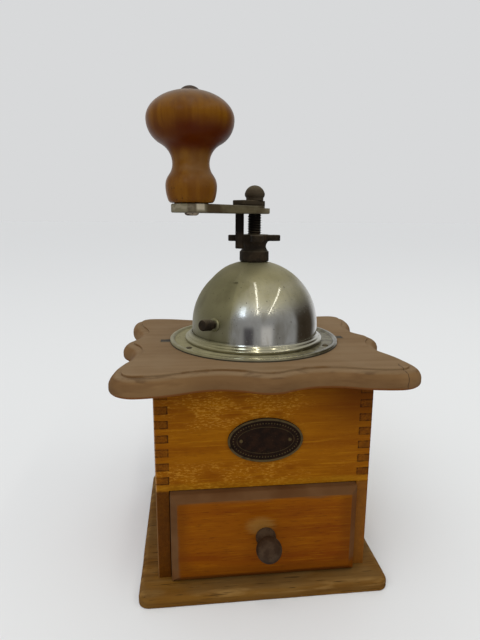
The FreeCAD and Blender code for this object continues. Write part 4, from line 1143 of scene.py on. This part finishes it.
lug_root = 4.6
lug_reach = 11.9
lug_half = 3.5
lug_low = 187.25
lug_high = 190.75
lug_outline = [Vector((lug_root, -lug_half)), Vector((lug_reach, -lug_half))]
for step in range(1, 12):
    angle = math.pi * (step / 12 - 0.5)
    lug_outline.append(Vector((lug_reach + lug_half * math.cos(angle), lug_half * math.sin(angle))))
lug_outline += [Vector((lug_reach, lug_half)), Vector((lug_root, lug_half))]
lug_mesh = bmesh.new()
lug_edge = [(0.7, lug_low, 0), (0, lug_low, 0.5), (0, lug_high, 0.5), (0.7, lug_high, 0)]
lug_levels = rounded_path(lug_edge, steps=4)
skin(lug_mesh, [inset_ring(lug_outline, inset, level) for inset, level in lug_levels])
bmesh.ops.scale(lug_mesh, vec=(MM, MM, MM), verts=lug_mesh.verts)
bmesh.ops.recalc_face_normals(lug_mesh, faces=lug_mesh.faces)
lug_pattern = bpy.data.meshes.new("lug_pattern")
lug_mesh.to_mesh(lug_pattern)
lug_mesh.free()
lug_carrier = bpy.data.objects.new("lug_pattern", lug_pattern)
lugs = Tree("wheel_lugs", {"Lugs": 4})
one_lug = lugs.make("GeometryNodeObjectInfo", {}, {"Object": lug_carrier}, 4)
corners = lugs.make("GeometryNodeMeshLine", {}, {"Count": lugs.inputs["Lugs"], "Offset": (0, 0, 0)})
index = lugs.make("GeometryNodeInputIndex", {}, {})
turn = lugs.make("ShaderNodeCombineXYZ", {}, {2: index * math.radians(90)})
star = lugs.make(
    "GeometryNodeInstanceOnPoints", {}, {"Points": corners, "Instance": one_lug, "Rotation": turn}
)
add_made("wheel_lugs", lugs.finish(star, dark_iron), "adjusting_wheel", [])
bpy.data.objects.remove(lug_carrier)


# Crank arm: a flat steel bar with round ends, fixed on the spindle, a pin riveted in its far end.
# Worn bright olive grey, with rust and pale remnants of plating near the handle.
arm_length = 52
arm_high = 207.01
handle_end = 10.2
spindle_end = 8.8
crank_degrees = 225
crank_turn = Matrix.Rotation(math.radians(crank_degrees), 3, "Z")


def on_crank(mesh_data, reach=0.0):
    """Moves a piece out along the arm and turns it to the crank's place."""
    bmesh.ops.translate(mesh_data, vec=(reach, 0, 0), verts=mesh_data.verts)
    bmesh.ops.rotate(mesh_data, cent=(0, 0, 0), matrix=crank_turn, verts=mesh_data.verts)


lean = math.asin((handle_end - spindle_end) / arm_length)
arm_outline = []
for centre, radius, first, last in (
    (arm_length, handle_end, -math.pi / 2 - lean, math.pi / 2 + lean),
    (0, spindle_end, math.pi / 2 + lean, 1.5 * math.pi - lean),
):
    for step in range(33):
        angle = first + (last - first) * step / 32
        arm_outline.append(Vector((centre + radius * math.cos(angle), radius * math.sin(angle))))
arm_edge = [(1.5, arm_low, 0), (0, arm_low, 0.7), (0, arm_high, 0.7), (1.5, arm_high, 0)]
arm_levels = rounded_path(arm_edge, steps=5)
arm_mesh = bmesh.new()
skin(arm_mesh, [inset_ring(arm_outline, inset, level) for inset, level in arm_levels])
on_crank(arm_mesh)

arm_steel, shader, place = new_finish("arm_steel")
tarnish = clouds(place, (0.007, 0.007, 0.005), 5.0, 2.0)
flaking = clouds(place, (0.0045, 0.0045, 0.003), 4.0, 9.1)
diagonal = 0.70711
reach_field = (along(place, "X") + along(place, "Y")) * -diagonal
near_side = rise((along(place, "X") - along(place, "Y")) * diagonal, 0.002, 0.004)
pin_line = arm_length * MM
far_end = rise(reach_field, pin_line - 0.002, pin_line + 0.001)
plating = band(reach_field, pin_line + 0.0033, 0.0014, 0.0012) * near_side
pin_rust = band(reach_field, pin_line + 0.007, 0.0010, 0.0010) * near_side
colour = blend(rise(tarnish, 0.4, 0.68), tint(98, 89, 65), tint(78, 66, 44))
colour = blend(far_end * 0.7, colour, tint(122, 115, 94))
colour = blend(far_end * rise(flaking, 0.50, 0.62) * 0.4, colour, tint(160, 150, 130))
colour = blend(pin_rust * rise(tarnish, 0.25, 0.5) * 0.7, colour, tint(60, 44, 33))
colour = blend(plating * rise(along(place, "Z"), 0.2033, 0.2046) * 0.75, colour, tint(190, 180, 160))
rusted = band(reach_field, pin_line - 0.0055, 0.0040, 0.0035)
colour = blend(rusted * 0.75, colour, tint(68, 52, 30))
colour = blend((1 - rise(reach_field, -0.004, 0.008)) * 0.6, colour, tint(124, 114, 94))
bumps = relief(tarnish + flaking, 0.25, 0.0003)
rough = 0.5 + 0.3 * tarnish
feed(shader, Base_Color=colour, Roughness=rough, Metallic=0.3, Normal=bumps, Specular_IOR_Level=0.25)
arm = add_piece("crank_arm_piece", arm_mesh, arm_steel, "crank", ["crank_arm"], sharp=50)
eye_reach = 6.3
eye_level = 205.82
step_cut = (20, 20, 4)
cut_box(arm, step_cut, (eye_reach - step_cut[0] / 2, 0, eye_level + step_cut[2] / 2), crank_degrees)


# Lock clip: a short plate under the cap nut with a leg that reaches down between the wheel's lugs.
# Dark iron, bent from flat bar; lifted with the nut, it frees the wheel.
clip_reach = 15.4
clip_back = 5.0
clip_half_width = 4.3
clip_low = 207.32
clip_high = 210.11
leg_low = 183.32
leg_top = 207.8
leg_reach = 13.8
leg_half_thickness = 1.1
leg_half_width = 2.4
clip_mesh = bmesh.new()
clip_middle = (clip_reach - clip_back) / 2
clip_edge = [(1, clip_low, 0), (0, clip_low, 0.3), (0, clip_high, 0.5), (1, clip_high, 0)]
clip_levels = rounded_path(clip_edge, steps=4)
clip_rings = rectangle_rings((clip_reach + clip_back) / 2, clip_half_width, 1.2, clip_levels)
skin(clip_mesh, [[(x + clip_middle, y, z) for x, y, z in ring] for ring in clip_rings])
leg_levels = rounded_path([(0.6, leg_low, 0), (0, leg_low, 0.4), (0, leg_top, 0)], steps=3)
leg_rings = rectangle_rings(leg_half_thickness, leg_half_width, 0.4, leg_levels)
skin(clip_mesh, [[(x + leg_reach, y, z) for x, y, z in ring] for ring in leg_rings])
on_crank(clip_mesh)
add_piece("lock_clip_piece", clip_mesh, dark_iron, "lock_clip", ["lock_clip"], sharp=40)


# Cap nut: a turned ball nut with a short neck, screwed on the spindle's top.
# Dark iron with dust on its crown.
nut_mesh = bmesh.new()
nut_section = [(3.3, 210.13), (4.8, 210.13), (5.0, 210.3), (5.0, 211.6)]
for centre_radius, centre_height, radius, first, last in (
    (3.0, 213.67, 2.8, -44, 14.6),
    (0, 212.89, 5.88, 16, 90),
):
    for step in range(11):
        turn = math.radians(first + (last - first) * step / 10)
        nut_section.append((centre_radius + radius * math.cos(turn), centre_height + radius * math.sin(turn)))
nut_section[-1] = (0, nut_section[-1][1])
turned_piece(nut_mesh, nut_section, 48)
add_piece("cap_nut_piece", nut_mesh, dark_iron, "cap_nut", ["cap_nut"], sharp=40)


# Handle: a turned wooden grip with a round head, a waist and a swelling foot.
# Brown varnished beech, its grain upright, darker under the head with pooled varnish and painted shade; it
# spins on its pin.
handle_low = 207.53
bulge = (8.0, 12.7)
neck = (18.5, 9.1)
head = (38.7, 21.3)
handle_high = 51.47
handle_foot = 11.0
pin_bore = 2.55
crown_edge = 5.2

handle_section = [(pin_bore, handle_low), (10.4, handle_low), (10.85, handle_low + 0.3)]
foot_lift = bulge[1] - handle_foot
foot_round = (bulge[0] ** 2 + foot_lift ** 2) / (2 * foot_lift)
for step in range(1, 9):
    height = bulge[0] * step / 8
    drop = math.sqrt(foot_round ** 2 - (bulge[0] - height) ** 2)
    handle_section.append((bulge[1] - foot_round + drop, handle_low + height))
for start, end, share, steps in ((bulge, neck, 0.5, 12), (neck, head, 0.46, 20)):
    for step in range(1, steps + 1):
        height = start[0] + (end[0] - start[0]) * step / steps
        handle_section.append((s_bend(step / steps, start, end, share), handle_low + height))
crown = handle_high - head[0]
crown_rise = crown / math.sqrt(1 - (crown_edge / head[1]) ** 2)
for step in range(1, 21):
    turn = math.asin(crown / crown_rise) * step / 20
    handle_section.append((head[1] * math.cos(turn), handle_low + head[0] + crown_rise * math.sin(turn)))
handle_section.append((pin_bore, handle_low + handle_high))
handle_mesh = bmesh.new()
turned_piece(handle_mesh, handle_section, 96, closed=True)
on_crank(handle_mesh, arm_length)

handle_wood, shader, place = new_finish("brown_handle_wood")
broad = clouds(place, grain_size("Z", 0.005, 0.05), 3.0)
fine = clouds(place, grain_size("Z", 0.0007, 0.012), 3.0, 3.0)
stain = clouds(place, (0.014, 0.014, 0.010), 4.0, 5.5)
height = along(place, "Z")
colour = blend(rise(broad, 0.35, 0.68), tint(113, 71, 11), tint(95, 55, 6))
colour = blend(rise(fine, 0.55, 0.75) * 0.2, colour, tint(72, 38, 4))
# Painted shade over pooled varnish under the head, stronger on the side away from the light; painted sheen
# with dust on the crown and the waist; nicked at the foot
shade_and_varnish_under_head = rise(height, 0.2290, 0.2340) * (1 - rise(height + (stain - 0.5) * 0.004, 0.2390, 0.2475))
side_away_from_light = rise(along(place, "X"), -0.060, -0.038)
colour = blend(shade_and_varnish_under_head * (0.45 + 0.45 * side_away_from_light), colour, tint(70, 20, 0))
# Painted sheen, partly dust: the crown and the waist are painted a paler grey
top_sheen_and_dust = rise(height, 0.2465, 0.258)
colour = blend(top_sheen_and_dust * (0.5 + 0.4 * rise(stain, 0.4, 0.65)), colour, tint(95, 82, 66))
waist_sheen_and_dust = band(height, 0.2225, 0.003, 0.007)
colour = blend(waist_sheen_and_dust * rise(stain, 0.3, 0.6) * 0.55, colour, tint(116, 84, 50))
nicks = rise(clouds(place, (0.0012, 0.0012, 0.0022), 2.0, 4.2), 0.69, 0.73) * (1 - rise(height, 0.216, 0.222))
colour = blend(nicks * 0.7, colour, tint(44, 24, 8))
bumps = relief(fine * 0.4 + stain * 0.3, 0.1, 0.0004)
feed(shader, Base_Color=colour, Roughness=0.22 + 0.2 * stain, Normal=bumps, Specular_IOR_Level=0.09)
add_piece("handle_piece", handle_mesh, handle_wood, "handle", ["handle"], sharp=50)

pin_mesh = bmesh.new()
rivet_low = 201.32
pin_radius = 2.5
cap_radius = 4.8
cap_low = 259.32
cap_rim = 259.5
cap_crown = 2.1
rivet = [(0, rivet_low), (2.3, rivet_low), (3.2, 201.7), (3.6, 202.3), (3.6, arm_low), (pin_radius, arm_low)]
rivet += [(pin_radius, cap_low), (cap_radius, cap_low)]
turned_piece(pin_mesh, rivet + dome_path(cap_radius, cap_rim, cap_crown, steps=8), 32)
on_crank(pin_mesh, arm_length)
rivet_steel, shader, place = new_finish("rivet_steel")
mottle = clouds(place, (0.0022, 0.0022, 0.0022), 4.0, 3.7)
below_arm = 1 - rise(along(place, "Z"), 0.204, 0.206)
colour = blend(rise(mottle, 0.4, 0.6), tint(76, 62, 53), tint(54, 42, 34))
colour = blend(below_arm * rise(mottle, 0.45, 0.56) * 0.9, colour, tint(164, 150, 132))
bumps = relief(mottle, 0.3, 0.0003)
feed(shader, Base_Color=colour, Roughness=0.6, Metallic=0.2, Normal=bumps, Specular_IOR_Level=0.15)
add_piece("handle_pin_piece", pin_mesh, rivet_steel, "crank", ["handle_pin"])


# Drawer: a thick front with bevelled edges, and a box of thin boards behind it on the base.
# Amber varnished like the case; its edges are brown and dusty, and a turned knob is pegged through it.
front_low, front_high = solid_box("drawer_front")
drawer_half_width = front_high[0]
drawer_half_height = (front_high[2] - front_low[2]) / 2
drawer_middle = (front_high[2] + front_low[2]) / 2
drawer_high = front_high[2]
drawer_face = front_low[1]
drawer_joint = front_high[1]

drawer_wood, shader, place = new_finish("amber_drawer_front")
broad = clouds(place, grain_size("X", 0.006, 0.10), 3.0, 11.0)
fine = clouds(place, grain_size("X", 0.0008, 0.02), 3.0, 9.3)
pores = clouds(place, grain_size("X", 0.0005, 0.006), 2.0, 4.7)
stain = clouds(place, (0.03, 0.03, 0.025), 3.0, 2.9)
colour = blend(rise(broad, 0.33, 0.7), tint(124, 67, 1), tint(109, 52, 1))
colour = blend(rise(fine, 0.5, 0.75) * 0.55, colour, tint(144, 90, 6))
colour = blend(rise(pores, 0.58, 0.7) * 0.5, colour, tint(78, 36, 1))
height = along(place, "Z") - drawer_middle * MM
side = along(place, "X")
out = side.alone("ABSOLUTE")
border = rise(out, 0.034, 0.048) + 1 - rise(height, -0.022, -0.012)
colour = blend(rise(border * (0.6 + 0.8 * stain), 0.2, 1.0) * 0.45, colour, tint(86, 44, 3))
# A patch rubbed pale above the knob
across = (side + 0.003) * (1 / 0.0095)
upward = (height - 0.0064) * (1 / 0.0062)
away = (across * across + upward * upward) + (fine - 0.5) * 1.2 + (pores - 0.5) * 0.8
rubbed = 1 - rise(away, 0.0, 1.1)
colour = blend(rubbed * 0.55, colour, tint(140, 106, 54))
# Brown, dusty edges at the top and the left
facing = along(surface_normal(place), "Y")
turned_away = rise(facing, -0.985, -0.89)
edge_colour = blend(rise(stain, 0.35, 0.65), tint(98, 69, 43), tint(82, 53, 29))
ragged = (stain - 0.5) * 0.004 + (fine - 0.5) * 0.003
from_top = drawer_high * MM - along(place, "Z") + ragged
from_left = side + drawer_half_width * MM + ragged
soft_border = rise(2 - rise(from_top, 0.0028, 0.0058) - rise(from_left, 0.0022, 0.0054), 0.0, 1.0)
colour = blend(soft_border * 0.75, colour, edge_colour)
low_edge = 1 - rise(height + ragged, -0.0205, -0.0165)
right_edge = rise(side, 0.044, 0.047)
colour = blend(turned_away * (0.9 - 0.7 * low_edge - 0.2 * right_edge), colour, edge_colour)
bumps = relief(fine * 0.5 - pores * 0.3, 0.16, 0.0004)
rough = 0.42 + 0.22 * stain + 0.2 * turned_away
feed(shader, Base_Color=colour, Roughness=rough, Normal=bumps, Specular_IOR_Level=0.05)

front_levels = rounded_path(
    [
        (0.3, drawer_joint, 0), (0, drawer_joint, 0.2), (0, drawer_face + 2.4, 1.7), (3.7, drawer_face, 1.6),
        (6.0, drawer_face, 0),
    ],
    steps=8,
)
front_corner = 0.6
front_rings = rectangle_rings(drawer_half_width, drawer_half_height, front_corner, front_levels)
front_mesh = bmesh.new()
skin(front_mesh, [[(x, depth, drawer_middle + z) for x, z, depth in ring] for ring in front_rings])
add_piece("drawer_front_piece", front_mesh, drawer_wood, "drawer", ["drawer_front"])

bare_wood, shader, place = new_finish("bare_drawer_wood")
broad = clouds(place, grain_size("Y", 0.005, 0.09), 3.0, 1.3)
fine = clouds(place, grain_size("Y", 0.0007, 0.018), 3.0, 7.7)
stain = clouds(place, (0.02, 0.02, 0.02), 4.0, 4.1)
colour = blend(rise(broad, 0.35, 0.68), tint(176, 134, 84), tint(150, 108, 62))
colour = blend(rise(stain, 0.45, 0.7) * 0.6, colour, tint(112, 76, 42))
colour = blend(rise(fine, 0.55, 0.72) * 0.4, colour, tint(104, 68, 34))
feed(shader, Base_Color=colour, Roughness=0.6 + 0.2 * stain, Normal=relief(fine, 0.25, 0.0004))


def thin_board(name, node):
    """A plain sawn board with its edges just broken."""
    low, high = solid_box(node)
    plan = [(low[0], low[1]), (high[0], low[1]), (high[0], high[1]), (low[0], high[1])]
    mesh_data = bmesh.new()
    skin(mesh_data, [[(x, y, level) for x, y in plan] for level in (low[2], high[2])])
    piece = add_piece(name, mesh_data, bare_wood, "drawer", [node])
    bevel = piece.modifiers.new("broken edges", "BEVEL")
    bevel.width = 0.35 * MM
    bevel.segments = 2


thin_board("drawer_left_board", "drawer_left_side")
thin_board("drawer_right_board", "drawer_right_side")
thin_board("drawer_back_board", "drawer_back")
thin_board("drawer_bottom_board", "drawer_bottom")

knob_wood, shader, place = new_finish("dark_knob_wood")
soot = clouds(place, (0.005, 0.005, 0.005), 4.0)
fine = clouds(place, grain_size("Y", 0.0006, 0.006), 2.0)
colour = blend(rise(soot, 0.38, 0.68), tint(48, 32, 20), tint(66, 50, 36))
colour = blend(rise(fine, 0.58, 0.72) * 0.4, colour, tint(34, 22, 13))
bumps = relief(fine + soot, 0.15, 0.0004)
feed(shader, Base_Color=colour, Roughness=0.6 + 0.2 * soot, Normal=bumps, Specular_IOR_Level=0.12)
knob_mesh = bmesh.new()
ball = 6.7
waist = 4.2
waist_at = 6.0
collar = 5.4
collar_end = 1.5
ball_at = waist_at + math.sqrt(ball ** 2 - waist ** 2)
ball_first = math.degrees(math.acos(waist / ball))
knob_section = [(0, -12), (3.0, -12), (3.0, 0), (5.2, 0), (collar, 0.3), (collar, collar_end)]
for step in range(1, 9):
    share = step / 8
    narrowing = (collar - waist) * (1 - share) ** 2
    knob_section.append((waist + narrowing, collar_end + (waist_at - collar_end) * share))
for step in range(1, 25):
    turn = math.radians(-ball_first + (90 + ball_first) * step / 24)
    knob_section.append((ball * math.cos(turn) if step < 24 else 0, ball_at + ball * math.sin(turn)))
turned_piece(knob_mesh, knob_section, 48)
point_forward(knob_mesh, (0, drawer_face, drawer_middle))
add_piece("drawer_knob_piece", knob_mesh, knob_wood, "drawer", ["drawer_knob"])


# Studio: a plain pale floor before a pale wall, with soft even light from above.
# Two long lamps and a window in front of the mill give its polished parts something to reflect.
# The camera stands where the photograph was taken from, a little left of the mill.
floor_mesh = bmesh.new()
bmesh.ops.create_grid(floor_mesh, x_segments=1, y_segments=1, size=30)
floor_data = bpy.data.meshes.new("floor")
floor_mesh.to_mesh(floor_data)
floor_mesh.free()
pale_floor, shader, place = new_finish("pale_floor")
feed(shader, Base_Color=tint(227, 229, 234), Roughness=0.9, Specular_IOR_Level=0.0)
floor_data.materials.append(pale_floor)
floor = bpy.data.objects.new("floor", floor_data)
bpy.context.scene.collection.objects.link(floor)
floor.visible_glossy = False
top_board.visible_glossy = False

world = bpy.data.worlds.new("pale_room")
world.use_nodes = True
background = world.node_tree.nodes["Background"]
sky = Field(world.node_tree.nodes.new("ShaderNodeTexCoord").outputs["Generated"])
sky_height = along(sky, "Z")
low_part = 1 - rise(sky_height, 0.25, 0.75)
side_on = bearing_of(sky)
room = blend(low_part, tint(226, 225, 218), tint(168, 168, 168))
# Dark and bright parts of the room that the metal reflects
shaded_side = band(side_on, 1.88, 0.50, 0.18) * (1 - rise(sky_height, 0.10, 0.75))
room = blend(shaded_side, room, tint(66, 57, 46))
half_shade = band(side_on, 0.67, 0.12, 0.10) * (1 - rise(sky_height, 0.0, 0.35))
room = blend(half_shade, room, tint(146, 144, 140))
near_dark = band(side_on, -0.28, 0.10, 0.10) * (1 - rise(sky_height, -0.04, 0.15))
room = blend(near_dark, room, tint(88, 86, 90))
near_bright = band(side_on, 0.27, 0.12, 0.10) * (1 - rise(sky_height, -0.05, 0.2))
room = blend(near_bright, room, tint(222, 220, 217))
room = blend(rise(along(sky, "Y"), 0.40, 0.85), room, tint(214, 215, 216))
# The plain backdrop that the camera sees
seen = Field(world.node_tree.nodes.new("ShaderNodeLightPath").outputs["Is Camera Ray"])
feed(background, Color=blend(seen, room, tint(216, 217, 218)), Strength=1.0)
bpy.context.scene.world = world

sun = bpy.data.lights.new("soft_daylight", "SUN")
sun.energy = 0.92
sun.angle = math.radians(70)
daylight = bpy.data.objects.new("soft_daylight", sun)
daylight.rotation_euler = (math.radians(32), math.radians(-22), 0)
daylight.visible_glossy = False
bpy.context.scene.collection.objects.link(daylight)


def soft_light(name, place_at, aim, size, power, colour):
    lamp = bpy.data.lights.new(name, "AREA")
    lamp.shape = "RECTANGLE"
    lamp.size, lamp.size_y = size
    lamp.energy = power
    lamp.color = colour
    holder = bpy.data.objects.new(name, lamp)
    holder.location = place_at
    holder.rotation_euler = (Vector(aim) - Vector(place_at)).to_track_quat("-Z", "Y").to_euler()
    holder.visible_camera = False
    bpy.context.scene.collection.objects.link(holder)


for lamp_x in (0.02, 1.18):
    soft_light("long_lamp", (lamp_x, -1.62, 1.74), (lamp_x, -1.62, 0), (0.09, 3.1), 6.5, (1.0, 0.97, 0.82))
soft_light("window_light", (-1.3, -2.4, 1.75), (0, 0, 0.15), (0.48, 0.95), 6.0, (0.72, 0.84, 1.0))

eye = Vector((-39.7, -285.8, 199.8)) * MM
yaw = 0.1098
pitch = 0.2053
roll = 0.0053
focal_pixels = 485.2
frame_height_pixels = 640
look = Vector((math.sin(yaw) * math.cos(pitch), math.cos(yaw) * math.cos(pitch), -math.sin(pitch)))
level_right = Vector((math.cos(yaw), -math.sin(yaw), 0))
level_up = level_right.cross(look)
right = level_right * math.cos(roll) + level_up * math.sin(roll)
up = right.cross(look)
camera_data = bpy.data.cameras.new("camera")
camera_data.sensor_fit = "VERTICAL"
sensor_height = 36
camera_data.sensor_height = sensor_height
camera_data.lens = sensor_height * focal_pixels / frame_height_pixels
camera_data.clip_start = 0.01
camera = bpy.data.objects.new("camera", camera_data)
camera.matrix_world = Matrix.Translation(eye) @ Matrix((right, up, -look)).transposed().to_4x4()
bpy.context.scene.collection.objects.link(camera)
bpy.context.scene.camera = camera
bpy.context.scene.view_settings.view_transform = "Standard"

bpy.context.view_layer.update()
